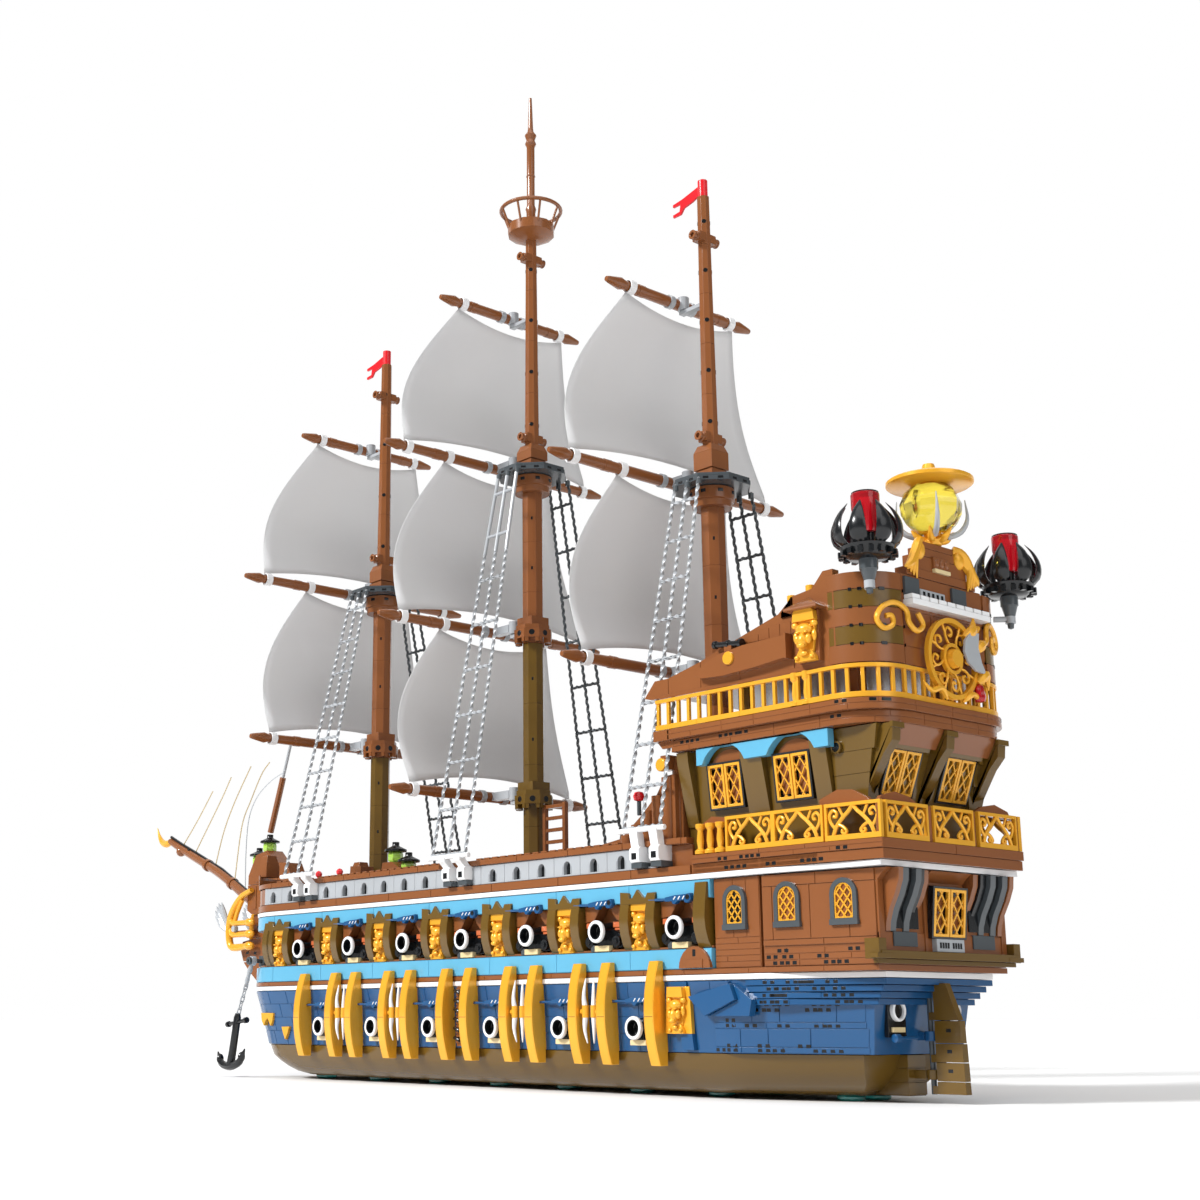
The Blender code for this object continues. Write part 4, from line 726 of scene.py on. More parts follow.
# %% Gun deck wall, posts and crowns
deck_wall = Pile("gun_deck")
wall_line = side_line(54, BOW_START, 54, -306.7, 54)
slab(deck_wall[brown], [whole(wall_line)], 81.2, 108.2, "deck")
sill = side_line(62.6, BOW_START, BOW_REACH - 1.5, -306.7, 62.6)
slab(deck_wall[brown], [whole(sill)], 81.15, 82.4, "deck")
for side in (-1, 1):
    y0, y1 = sorted((side * 40, side * 58))
    block(deck_wall[slate], 164, 172, y0, y1, 81.8, 90)
    rod(deck_wall[slate], (168, side * 50, 86), (168, side * 70, 86), 1.6)
    rod(deck_wall[slate], (168, side * 68.4, 86), (168, side * 70, 86), 3)
deck_wall.finish(0.2, ["gun_deck"])

MASKS = [133 - GUN_STEP * i for i in range(7)]
frame_post = [(55, 81.4), (62.4, 81.4), (64.6, 85), (66.6, 91), (67.4, 97.5), (66.9, 104), (65.6, 109.5),
    (65, 113.6), (62, 113.6), (62, 108.3), (55, 108.3)]
posts = Pile("gun_posts")
for x in (-10.6, 10.6):
    slab(posts[olive], [frame_post], x - 3.7, x + 3.7, "cross")
block(posts[olive], -7, 7, 55, 61.5, 81.6, 108.2)
slab(posts[olive], [[(-14.3, 107.5), (-14.3, 113.2), (-8.2, 113.6), (-6.4, 110.6), (-4.4, 111.4), (0.2, 116),
    (4.2, 111.2), (6.6, 110.8), (7.6, 114.2), (14.3, 114.8), (14.3, 107.5)]], 62.2, 66.2)
posts.finish(0.25, ["gun_frames_port", "gun_frames_starboard"], places=along_ship(MASKS))

end_posts = Pile("end_posts")
tall_post = [(y + 0.6, z if z < 105 else z + 3.6) for y, z in frame_post]
for x in (-301, 149):
    slab(end_posts[olive], [tall_post if x < 0 else frame_post], x - 4.6, x + 4.6, "cross")
end_posts.finish(0.25, both=True)

# %% [markdown]
# ## Lion masks
# Between the guns hang gold masks: a flat capital, a lion's head with brow, cheeks and long muzzle,
# and a splayed foot with rosettes. Each is a cluster of smooth lumps on a back plate, as a moulding is.

# %% Masks and ribs
def lion(bm, y, z, scale=1):
    """A lion's head on a plate, z at the foot, facing outwards from y."""
    fit = Matrix.Translation((0, y, z)) @ Matrix.Diagonal((scale, scale, scale, 1))
    plump = fit @ Matrix.Diagonal((1.3, 1.3, 1, 1))
    slab(bm, [[(-7, 22.4), (7, 22.4), (6.4, 27.6), (5.2, 29), (-5.2, 29), (-6.4, 27.6)]], -1, 3.4, "side", fit)
    slab(bm, [[(-5.8, 15), (-6.4, 22.5), (6.4, 22.5), (5.8, 15), (5, 9), (4.4, 5), (-4.4, 5), (-5, 9)]], -1, 1,
        "side", fit)
    slab(bm, [[(-6.6, 0), (6.6, 0), (6.2, 2.4), (4, 6.2), (-4, 6.2), (-6.2, 2.4)]], -1, 2.6, "side", fit)
    lumps = [((0, 1.6, 17.6), 3.6, (1.15, 0.8, 1)), ((0, 3.2, 11), 2.3, (0.95, 0.95, 1.9)),
        ((0, 4.6, 8), 1.7, (1.2, 0.8, 0.9)), ((-4.6, 1.2, 20.6), 1.7, (1, 0.8, 1.2)),
        ((4.6, 1.2, 20.6), 1.7, (1, 0.8, 1.2)), ((-2.6, 2.8, 12), 1.8, (0.8, 0.8, 1.7)),
        ((2.6, 2.8, 12), 1.8, (0.8, 0.8, 1.7)), ((-4.4, 1.2, 14), 1.4, (0.9, 0.7, 2.4)),
        ((4.4, 1.2, 14), 1.4, (0.9, 0.7, 2.4)), ((0, 3, 4), 1.5, (1.4, 0.6, 0.9)),
        ((-3.6, 2.6, 2.2), 1.2, (1, 0.6, 1)), ((3.6, 2.6, 2.2), 1.2, (1, 0.6, 1))]
    for place, radius, stretch in lumps:
        bmesh.ops.transform(bm, matrix=plump, verts=ball(bm, place, radius, 10, stretch))
    for side in (-1, 1):
        bmesh.ops.transform(bm, matrix=plump, verts=ball(bm, (side * 1.9, 4.2, 15.6), 1, 8, (1.3, 0.7, 0.6)))


masks = Pile("masks")
lion(masks[gold], 61.6, 81.3)
masks.finish(0.15, places=along_ship(MASKS))

ribs = Pile("ribs")
shape = arc(-8, 46, 82.2, -20.5, 20.5, 18)
shape += [(65, shape[-1][1]), (65, 63.2), (61.5, 63.2), (61.5, 25), (62.6, 25), (62.6, shape[0][1])]
slab(ribs[gold], [shape], -3.4, 3.4, "cross")
for dx in (-3.3, 3.3):
    slab(ribs[gold], [arc(-8, 46, 82.2, -20.5, 20.5, 18) + arc(-8, 46, 79.6, 20.5, -20.5, 18)], dx - 0.5,
        dx + 0.5, "cross")
block(ribs[olive], -3.3, 3.3, 73, 74.35, 43.9, 44.2)
ribs.finish(0.2, places=along_ship([x + dx for x in LOWER_GUNS for dx in (24, -15.5)]))

horns = Pile("horns")
for side in (-1, 1):
    x = side * 3.6
    rod(horns[gold], (x + side * 4, 70, 47), (x, 70.4, 47), 1.7, sides=10)
    rod(horns[gold], (x, 70.6, 43.6), (x, 70.6, 50.6), 2.3, sides=12)
    for tip in ([(x, 70.8, 48), (x + side * 0.6, 71.6, 56), (x - side * 0.2, 70.6, 66)],
            [(x, 70.8, 45), (x + side * 0.4, 71.2, 37), (x - side * 0.8, 70.2, 29)]):
        sweep(horns[white], through(tip, 4), [1.7, 1.6, 1.5, 1.3, 1.1, 1, 0.8, 0.6, 0.3], 8)
horns.finish(0, places=along_ship([41.25 - GUN_STEP * j for j in (0, 1, 3, 4)]))

# One gap has a brown strip with six small black knobs instead.
knobs = Pile("knob_strip")
block(knobs[brown], -3.9, 3.9, 62, 65.4, 26, 63.4)
for k in range(6):
    z = 30.4 + 5.9 * k
    block(knobs[brown], -3.4, 3.4, 65.5, 66.6, z - 2.6, z + 2.6)
    rod(knobs[black], (-0.4, 66.2, z), (-0.4, 69.4, z), 1.5, 1.1, 10)
    rod(knobs[black], (-3, 68.6, z - 0.9), (2.6, 68.6, z + 0.9), 1.2, sides=8)
knobs.finish(0.12, places=along_ship([-86.75]))

plates = Pile("gold_plates")
slab(plates[gold], [[(-291.6, 34.8), (-271, 34.8), (-272.6, 60.4), (-290.4, 60.4)]], 63, 65.6)
slab(plates[gold], [[(155.6, 47.4), (138.6, 47.2), (139.6, 41.4), (142, 37.8), (144.8, 41.6), (147, 43.4),
    (149.2, 41.6), (151.4, 38), (154.2, 41.4)]], 60, 64.85)
slab(plates[gold], [[(126.7, 37.4), (116.3, 37.6), (118.4, 33), (121.5, 28.2), (124.6, 33)]], 60, 64.85)
slab(plates[blue], [[(-292.5, 54.7), (-323.6, 61.6), (-327.2, 52.9), (-304.6, 44.3)]], 62, 69.4)
slab(plates[blue], [[(-323.8, 61.4), (-337, 52.8), (-335, 44.2), (-304.8, 44.2), (-327.4, 52.9)]], 62, 66.8)
plates.finish(0.2, both=True)
stern_lion = Pile("stern_lion")
lion(stern_lion[gold], 65.6, 34.8, 0.88)
stern_lion.finish(0.12, places=along_ship([-281.4]))

# %% [markdown]
# ## Lattice windows
# The stern's windows are gold lattices in dark frames, with brown glass behind. The lattice is two sets
# of thin bars, each bar a diagonal line cut off where it meets the window's outline, so the same
# function fills an arched pane or a square one.

# %% Lattice, arched windows and double windows
def lattice(bm, outline, pitch, wide, lo, hi, lean=1.3):
    """Crossed diagonal bars inside a convex outline."""
    points = [Vector(p) for p in outline]
    for sign in (1, -1):
        run = Vector((1, sign * lean)).normalized()
        away = Vector((-run.y, run.x))
        spots = [p.dot(away) for p in points]
        middle = (min(spots) + max(spots)) / 2
        count = int((max(spots) - min(spots)) / 2 / pitch)
        for k in range(-count, count + 1):
            hits = []
            for a, b in zip(points, points[1:] + points[:1]):
                da, db = a.dot(away) - middle - k * pitch, b.dot(away) - middle - k * pitch
                if (da < 0) != (db < 0):
                    hits.append(a + (b - a) * (da / (da - db)))
            if len(hits) == 2 and (hits[0] - hits[1]).length > 1:
                edge = away * wide / 2
                slab(bm, [[hits[0] + edge, hits[1] + edge, hits[1] - edge, hits[0] - edge]], lo, hi)


def arched(half, foot, spring, steps=10):
    """The outline of an opening with a round head."""
    return [(-half, foot), (half, foot)] + arc(0, spring, half, 0, 180, steps)


def oblong(x0, x1, z0, z1):
    """The outline of a rectangle."""
    return [(x0, z0), (x1, z0), (x1, z1), (x0, z1)]


def twins(point, turn=(0, 0, 0), size=(1, 1, 1)):
    """A place on the port side and its mirror image to starboard."""
    x, y, z = point
    return [(point, turn, size), ((x, -y, z), (-turn[0], turn[1], -turn[2]), (size[0], -size[1], size[2]))]


INWARD = 6.8 / 72
WALL_LEAN = atan(INWARD)
window = Pile("arched_windows")
slab(window[slate], [arched(8.2, 0, 16), arched(5.6, 3.4, 16)], -0.6, 1.8)
block(window[slate], -8.6, 8.6, -0.6, 2.4, 0, 3)
slab(window[black], [arched(5.7, 3.3, 16)], -0.6, 0.1)
slab(window[gold], [arched(5.6, 3.4, 16), arched(4.9, 4.1, 16)], 0.1, 1.3)
lattice(window[gold], arched(5.3, 3.7, 16), 3.5, 0.8, 0.3, 1.1)
places = []
for x in (-323.5, -359.6, -395):
    aft = x < STERN_BEND
    places += twins((x, 62.5 - INWARD * (STERN_BEND - x) if aft else 62, 90), (0, 0, WALL_LEAN if aft else 0))
window.finish(0.12, places=places)

doors = Pile("double_windows")
slab(doors[black], [oblong(-13.2, 13.2, -1.2, 25.6), oblong(-12, 12, 0, 24.4)], -1.5, 1.9)
slab(doors[black], [oblong(-12.1, 12.1, -0.1, 24.5)], -1.5, -0.6)
for x0, x1 in ((-12, -0.3), (0.3, 12)):
    slab(doors[gold], [oblong(x0, x1, 0, 24.4), oblong(x0 + 1.5, x1 - 1.5, 1.5, 22.9)], 0.2, 2)
    lattice(doors[gold], oblong(x0 + 1.2, x1 - 1.2, 1.2, 23.2), 5, 0.75, 0.5, 1.5, 1.6)
    block(doors[brown], x0 + 2.4, x1 - 2.6, -0.7, -0.4, 3, 20)
CABIN_LEAN = radians(6)
AFT_LEAN = radians(21)
places = []
for x in (-312, -361):
    places += twins((x, 51.6, 159), (-CABIN_LEAN, 0, 0))
for y in (24.5, -24.5):
    places.append(((-404.6, y, 159), (-AFT_LEAN, 0, radians(90)), (1.06, 1, 1)))
places.append(((-415.2, 0, 84.8), (radians(-6), 0, radians(90)), (1.14, 1, 1.02)))
doors.finish(0.12, places=places)

# %% [markdown]
# ## Stern wall and counter
# Smooth tall panels stand over a few thin courses with slots, and the two after panels turn inwards
# at a deep groove. Under the balcony, curved dark brackets carry the overhang either side of a window.

# %% Stern wall
wall = Pile("stern_wall")
front_wall = [(-340.6, 61.4), (-307.3, 61.4)]
aft_wall = [(-413.3, 55), (-342.6, 61.7)]
slab(wall[brown], [front_wall + [(-307.3, 20), (-340.6, 20)]], 69.9, 118.4, "deck")
slab(wall[brown], [aft_wall + [(-342.6, 0.2), (-413.3, 0.2)]], 69.9, 118.3, "deck")
# A black sheet inside the wall shows only at the floor of the deep groove, as painted shade.
slab(wall[black], [[(-411, 0.4), (-411, 53.6), (-308, 59.4), (-308, 0.4)]], 70.3, 118, "deck")
for z0, z1, lengths in ((70, 73.2, (24, 32)), (73.2, 76.4, (16, 24)), (76.4, 79.6, (24, 32)),
        (79.6, 82.8, (16, 34)), (82.8, 86, (16, 24)), (86, 118.2, (9.5, 16))):
    course(wall[brown], front_wall, z0, z1, -340.3, -307.4, lengths, dice, 0.35)
for z0, z1, lengths, out in ((70, 73.2, (24, 32), 0.35), (73.2, 76.4, (16, 32), 0.35),
        (76.4, 79.6, (24, 32), 0.35), (80.6, 83.8, (32, 40), 1.1), (83.8, 112, (16, 24), 0.9),
        (112, 118.2, (36,), 0.9)):
    course(wall[brown], aft_wall, z0, z1, -413.2, -343, lengths, dice, out)
for z, xs in ((71.6, (-352, -360, -384, -392)), (74.8, (-348, -358, -380)), (78, (-355, -399))):
    slots(wall[black], aft_wall, z, xs, 0.45, 2.8, 2)
wall.finish(0.15, ["stern_wall"], both=True)

arch_end = Pile("arch_end")
slab(arch_end[brown], [[(-306.8, 70.2), (-283, 70.2)] + arc(-295, 70.2, 12, 0, 180, 12)[1:-1]], 63.5, 66)
slab(arch_end[brown], [[(-301.5, 70.4), (-289, 70.4), (-289, 75), (-301.5, 75)]], 65.5, 66.5)
block(arch_end[black], -296.2, -293.8, 65, 66.15, 76.6, 80.4)
arch_end.finish(0.15, both=True)

counter = Pile("transom")
for size in ((-419, -413.6, -60, 60, 72.6, 76.6), (-416.4, -413.6, -60, 60, 70.2, 72.4)):
    block(counter[olive], *size)
for side in (-1, 1):
    block(counter[olive], -418.6, -409.6, side * 55.4, side * 61.6, 72.4, 82.6)
    slab(counter[olive], [[(-419.2, side * 50), (-419.2, side * 63.6), (-414, side * 63.6), (-412, side * 58)]],
        72.7, 75.2, "deck")
curve = [(-425, 118.2), (-424.4, 112), (-421.6, 105), (-417.6, 97.5), (-415.4, 91), (-414.9, 86.5), (-413, 86.5),
    (-413, 118.2)]
# The recessed blades are black as painted shade between the slate blades.
for y0, y1, mat, back in ((46.6, 50.4, brown, 0), (41, 46, slate, 0.8), (35.6, 40.4, black, 3.2),
        (30.2, 35, slate, 0.8), (24.6, 29.6, black, 3.2), (19.6, 24, brown, 4.4)):
    for side in (-1, 1):
        slab(counter[mat], [[(min(x + back, -413), z) for x, z in curve]], side * y0, side * y1)
# Behind the brackets a black sheet over a slate plate paints the shade between them.
for side in (-1, 1):
    slab(counter[slate], [[(-414.8, 79), (-413.2, 79), (-413.2, 86.4), (-414.8, 86.4)]], side * 24.4, side * 44)
    slab(counter[black], [[(-414.2, 88), (-413.2, 88), (-413.2, 112), (-414.2, 112)]], side * 22, side * 44.6)
for y0, y1 in ((-55, -50.6), (50.6, 55), (-17.4, 17.4)):
    slab(counter[brown], [[(-413, 76.6), (-414.6, 76.6), (-414.6, 112.5), (-418, 116), (-421, 118.2),
        (-413, 118.2)]], y0, y1)
for side in (-1, 1):
    block(counter[brown], -414, -412.8, side * 16, side * 55, 76.7, 86)
block(counter[stone], -417.6, -413.6, -12, 12, 76.8, 83.4)
for y0 in (-9.6, 1.4):
    for k in range(4):
        block(counter[black], -417.9, -417.2, y0 + 2.2 * k, y0 + 2.2 * k + 1.5, 78.6, 81.6)
counter.finish(0.15)

# %% [markdown]
# ## Rows that follow an edge
# A fence is one post repeated along a path. The second tree walks a curve in equal steps and stands a
# copy of the post at each, turned to face along the path, so the same tree fits the straight sides and
# the round corners. The tree's spacing is the toy's stud, 8 mm.

# %% The row tree
row, given = new_tree("row along a line", (("Geometry", "Geometry"), ("Piece", "Object"), ("Spacing", "Float"),
    ("Plastic", "Material")))
stations = add(row, "GeometryNodeResampleCurve", {"Curve": given["Geometry"], "Length": given["Spacing"]},
    mode="LENGTH")
ahead = add(row, "GeometryNodeInputTangent")
upright = add(row, "FunctionNodeAlignRotationToVector", {"Vector": ahead}, axis="X", pivot_axis="Z")
plant(row, given, stations, "Piece", Rotation=upright)


def line_object(lines):
    """A curve object of straight runs through points in mm, one spline for each line."""
    curve = bpy.data.curves.new("line", "CURVE")
    curve.dimensions = "3D"
    for points in lines:
        spline = curve.splines.new("POLY")
        spline.points.add(len(points) - 1)
        for point, co in zip(spline.points, points):
            point.co = (*(Vector(co) * MM), 1)
    return show("line", curve)


def row_of(pile, lines, spacing, mat):
    """Copies of the pile's one piece along the lines."""
    piece = pile.finish(0.15)[0]
    values = {"Piece": piece, "Spacing": spacing * MM, "Plastic": mat}
    belong(run_tree_with(piece, line_object(lines), row, values), pile.body, mat)


def castle_line(front, rear, half, corner, steps=8):
    """The castle's plan with round after corners, from the stern's middle forward."""
    return [(rear, 0)] + arc(rear + corner, half - corner, corner, 180, 90, steps) + [(front, half)]


# %% Gallery floor and fence
gallery = Pile("gallery")
gallery_bricks = Pile("gallery_bricks")
for front, rear, half, corner, z0, z1 in ((-277, -426.5, 61.7, 29, 193.3, 200),
        (-266.2, -427.5, 65.4, 29, 200.1, 206.2)):
    floor_line = castle_line(max(front, -277) if z0 < 200 else -277, rear, half - 0.3, corner)
    slab(gallery[brown], [whole(floor_line[1:])], z0, z1, "deck")
    outer_line = castle_line(-277.2, rear, half - 0.3, corner)
    for k in range(2):
        course(gallery_bricks[brown], outer_line, z0 + 3.2 * k, min(z1, z0 + 3.2 * k + 3.2), rear, -277.4,
            (24, 32, 40), dice, 0.3)
    slots(gallery_bricks[black], outer_line, z0 + 4.8, (-288, -296, -318, -326, -333, -398) if z0 < 200
        else (-404, -421), 0.4, 2.8, 2)
for side in (-1, 1):
    block(gallery[brown], -279, -266.2, side * 61.6, side * 65.4, 200.1, 206.2)
    slab(gallery[brown], [[(-279, 196), (-270, 196), (-266.2, 200.2), (-279, 200.2)]], side * 60, side * 61.8)
    # Brown awnings over the after windows, each under a thin olive cap.
    y0, y1 = side * 4.2, side * 43.4
    slab(gallery[brown], [[(-413, 184), (-418.6, 183), (-425.4, 194.4), (-420, 196)]], y0, y1)
    slab(gallery[olive], [[(-412, 182), (-417.6, 181), (-418.8, 183.2), (-412, 184)]], side * 9, side * 39)
gallery.finish(0.2, ["gallery_floor"])
gallery_bricks.finish(0.2, both=True)

rails = Pile("gallery_rails")
for z0, z1, wide in ((206.6, 209.6, 3.8), (222.6, 224.7, 2.8)):
    outer = castle_line(-267.5, -426.2, 64.6, 28.4)[1:]
    inner = castle_line(-267.5, -426.2 + wide, 64.6 - wide, 28.4 - wide)[1:]
    closed_line = outer[::-1] + [(x, -y) for x, y in outer + inner[::-1]] + inner
    slab(rails[gold], [closed_line], z0, z1, "deck")
for side in (-1, 1):
    for x in (-300.5, -333):
        block(rails[gold], x - 0.3, x + 0.3, side * 64.4, side * 64.8, 206.6, 209.6)
    for x in (-372.6, -380.6):
        turned(rails[gold], [(0, 206.6), (3, 206.6), (3, 208.4), (1.5, 209.6), (2, 213), (1.5, 219.6), (2.6, 221),
            (2.6, 224.9), (0, 224.9)], (x, side * 62.8, 0), 12)
rails.finish(0.15, ["gallery_fence"])
spindle = Pile("gallery_spindles")
block(spindle[gold], -1, 1, -1, 1, 209.3, 222.8)
port_run = [(x, y, 0) for x, y in castle_line(-269, -424.6, 63, 27)[1:]]
row_of(spindle, [port_run[::-1] + [(x, -y, 0) for x, y, _ in port_run]], STUD, gold)

# %% Balcony floor and its ornate fence
balcony = Pile("balcony")
edge = [(-424.7, 61.9), (-384, 65.2), (-294.3, 65.2)]
for z0, z1, line in ((122.3, 127.4, [(-423.7, 60.9), (-384, 64.2), (-294.3, 64.2)]), (127.5, 132.5, edge)):
    slab(balcony[brown], [line + [(-294.3, 0.2), (line[0][0], 0.2)]], z0, z1, "deck")
    for k in range(2):
        course(balcony[brown], line, z0 + 2.55 * k, z0 + 2.55 * k + 2.5, -424.6, -294.6, (24, 32, 48), dice, 0.3)
slots(balcony[black], edge, 128.9, (-318, -334, -342, -400), 0.4, 2.8, 1.9)
slots(balcony[black], [(x, y - 1) for x, y in edge], 124, (-322, -331, -352, -376, -384), 0.5, 2.8, 1.9)
balcony.finish(0.15, ["balcony_floor"], both=True)
balcony_posts = Pile("balcony_posts")
for y in (-62, -20, 20, 62):
    rod(balcony_posts[brown], (-421.8, y * 0.968, 132.7), (-421.8, y * 0.968, 151.4), 1.9, sides=12)
for side in (-1, 1):
    for x in (-299.7, -307.2, -314.8):
        turned(balcony_posts[gold], [(0, 132.7), (3.4, 132.7), (3.4, 134.6), (1.6, 136), (2.2, 140), (1.6, 145.8),
            (2.8, 147.4), (2.8, 149.6), (0, 149.6)], (x, side * 63, 0), 14)
    # Quarter arches rise behind the fence's ends.
    slab(balcony_posts[brown], [[(-322, 132.8), (-318, 152), (-306, 153.6), (-300, 150.4), (-296.4, 146),
        (-296.4, 132.8)]], side * 58.4, side * 60.6)
    slab(balcony_posts[brown], [[(-384, 150), (-384, 155.2), (-396, 159.5), (-406, 158.6), (-415, 154),
        (-420, 150)]], side * 58, side * 61)
    slab(balcony_posts[brown], [[(side * 59, 150), (side * 56, 154.5), (side * 44, 157.5), (side * 32, 155.6),
        (side * 22, 151)]], -420.4, -418, "cross")
balcony_posts.finish(0.2)

panel = Pile("balcony_panels")
slab(panel[gold], [oblong(-17.2, 17.2, 0, 19.2), oblong(-15.8, 15.8, 2.8, 17.4)], -1.2, 1.2)


def curl(points, radius=0.95):
    """A scroll of the fence, with its mirror image."""
    line = through([(u, 0, v) for u, v in points], 4)
    for side in (-1, 1):
        sweep(panel[gold], [(side * p.x, 0, p.z) for p in line], radius, 6)


curl([(12.5, 2.6), (10.5, 7), (6.5, 11.5), (2.8, 14.6), (0.2, 17.6)], 1.15)
curl([(9.5, 8.4), (6.4, 6.8), (4.4, 4.6), (5.6, 3.2), (7.2, 4.2), (6.6, 5.4)])
curl([(11.2, 6), (13.8, 9.4), (14.6, 13), (12.6, 15.6), (10.2, 14.4), (10.6, 12.2), (12.2, 12.6)])
curl([(6, 12), (7.6, 15), (8.8, 17.4)], 0.8)
places = []
for x in (-337.2, -371.6):
    places += twins((x, 63.6, 132.7))
places += twins((-406.8, 62, 132.7), (0, 0, atan(2.9 / 40)), (1, 1, 1))
for y in (-40, 0, 40):
    places.append(((-423.2, y, 132.7), (0, 0, radians(90)), (1.03, 1, 1)))
panel.finish(0.12, ["balcony_fence"], places=places)

# %% [markdown]
# ## The upper cabin
# Olive walls lean outwards between stout buttresses, under a light blue valance cut in two arches.
# The after wall is set back behind three curved brackets that carry the gallery.

# %% Cabin
cabin = Pile("cabin")
skin(cabin[olive], [[(x, y, z) for x, y in whole([(rear, y), (-278.2, y)])]
    for z, rear, y in ((132.7, -400, 48.6), (150, -401.5, 49), (192.9, -418, 53.6))])
for x, wide, y_low, y_high in ((-283, 4.4, 50.5, 58.6), (-334, 7.6, 50.5, 58), (-381, 5.4, 51, 57.4)):
    for side in (-1, 1):
        skin(cabin[olive], [[(x - wide, side * (y - 8), z), (x + wide, side * (y - 8), z),
            (x + wide, side * y, z), (x - wide, side * y, z)] for y, z in ((y_low, 150), (y_high, 186),
            (y_high + 0.6, 192.6))])
for side in (-1, 1):
    for z0, z1, x1 in ((133, 152, -402), (152.2, 168, -407.5), (168.2, 180, -411.5), (180.2, 192.6, -416)):
        rings = []
        for z in (z0, z1):
            rear, y = x1 + 0.8, side * (49.6 + (z - 150) * 0.105)
            rings.append([(rear, side * 40, z), (-387, side * 40, z), (-387, y, z), (rear - (z - z0) * 0.25, y, z)])
        skin(cabin[olive], rings)
    rod(cabin[black], (-391.6, side * 53, 183), (-391.6, side * 54.6, 183), 2.5, sides=14)
    hoop(cabin[olive], 2.4, 3.4, 0, 1.6, at((-391.6, side * 53.4, 183), -90 * side, "X"))
bracket = [(-404, 158), (-410, 163), (-414.5, 170), (-419, 177), (-425, 183.5), (-426, 192.8), (-414, 192.8),
    (-402, 150)]
for y in (-46.8, 0, 46.8):
    slab(cabin[olive], [bracket], y - 3.4, y + 3.4)
    slab(cabin[olive], [[(-425, 190), (-427, 190), (-427, 193), (-425, 193)]], y - 5, y + 5)
arches = [(-295.2, 193), (-295.2, 183.4), (-299.5, 183.4)] + arc(-315.5, 176.5, 17.4, 24, 156, 10)
arches += [(-331.5, 183.4), (-347.5, 183.4)] + arc(-364.5, 175.6, 18.6, 25, 155, 10)
arches += [(-382, 183.4), (-391, 183.4), (-391, 193)]
for side in (-1, 1):
    slab(cabin[sky], [arches], side * 55, side * 60.2)
    for x in (-315.5, -364.5):
        slab(cabin[brown], [arc(x, 175, 16.4, 22, 158, 10)], side * 50, side * 54.6)
cabin.finish(0.2, ["upper_cabin", "valance_port", "valance_starboard"])

# %% Bulkhead, stepped side walls and the yellow lamps before the cabin
front = Pile("cabin_front")
block(front[brown], -277.4, -273, -53.4, 53.4, 127.6, 192.9)
for k in range(13):
    y = -51.6 + 8.6 * k
    rod(front[brown], (-272.6, y, 127.8), (-272.6, y, 192), 3.6, sides=10)
block(front[brown], -293.6, -272, -53, 53, 127.6, 132.2)
slope = [(-207, 127.6), (-207, 144.5), (-229, 147.5), (-247, 160), (-260, 171), (-267, 181), (-275, 181.5),
    (-275, 127.6)]
for side in (-1, 1):
    slab(front[brown], [slope], side * 53, side * 57.2)
    for x0, x1, top in ((-229, -222, 145), (-238, -229.6, 149), (-247, -238.6, 154.5), (-256, -247.6, 162),
            (-264, -256.6, 170), (-273, -264.6, 180)):
        rod(front[brown], ((x0 + x1) / 2, side * 56.6, 128), ((x0 + x1) / 2, side * 56.6, top), 3.9, sides=12)
    turned(front[gold], [(0, 0), (3.9, 0), (3.9, 2.4), (3.4, 2.9), (0, 2.9)],
        at((-268.6, side * 60, 187), -90 * side, "X"), 18)
    block(front[brown], -273, -266.5, side * 53, side * 60.2, 184, 192.6)
    turned(front[red], [(0, 0), (3, 1), (3.6, 3.4), (2.6, 5.6), (0, 6.4)], (-245, side * 57, 168), 12)
    rod(front[slate], (-245, side * 57, 160), (-245, side * 57, 168.6), 1.3, sides=10)
front.finish(0.2, ["cabin_front"])

# %% [markdown]
# ## Poop
# The side walls climb aft in wedges and straight bricks. At the corner they meet round towers of brown
# and olive courses with slots painted black as their shade, and a lion under a pointed cap hides the joint.

# %% Poop walls and corner towers
slope = [(-257, 227.2), (-266, 236.8), (-277, 236.8), (-303, 242.6), (-317, 247), (-332.5, 251.2),
    (-362.6, 259.6), (-373, 267.7), (-386.8, 269.4), (-394.7, 277.6), (-401, 277.6)]


def slope_top(x):
    """The height of the poop's side wall at x."""
    for (xa, za), (xb, zb) in zip(slope, slope[1:]):
        if xb <= x <= xa:
            return za + (zb - za) * (xa - x) / (xa - xb)
    return slope[-1][1]


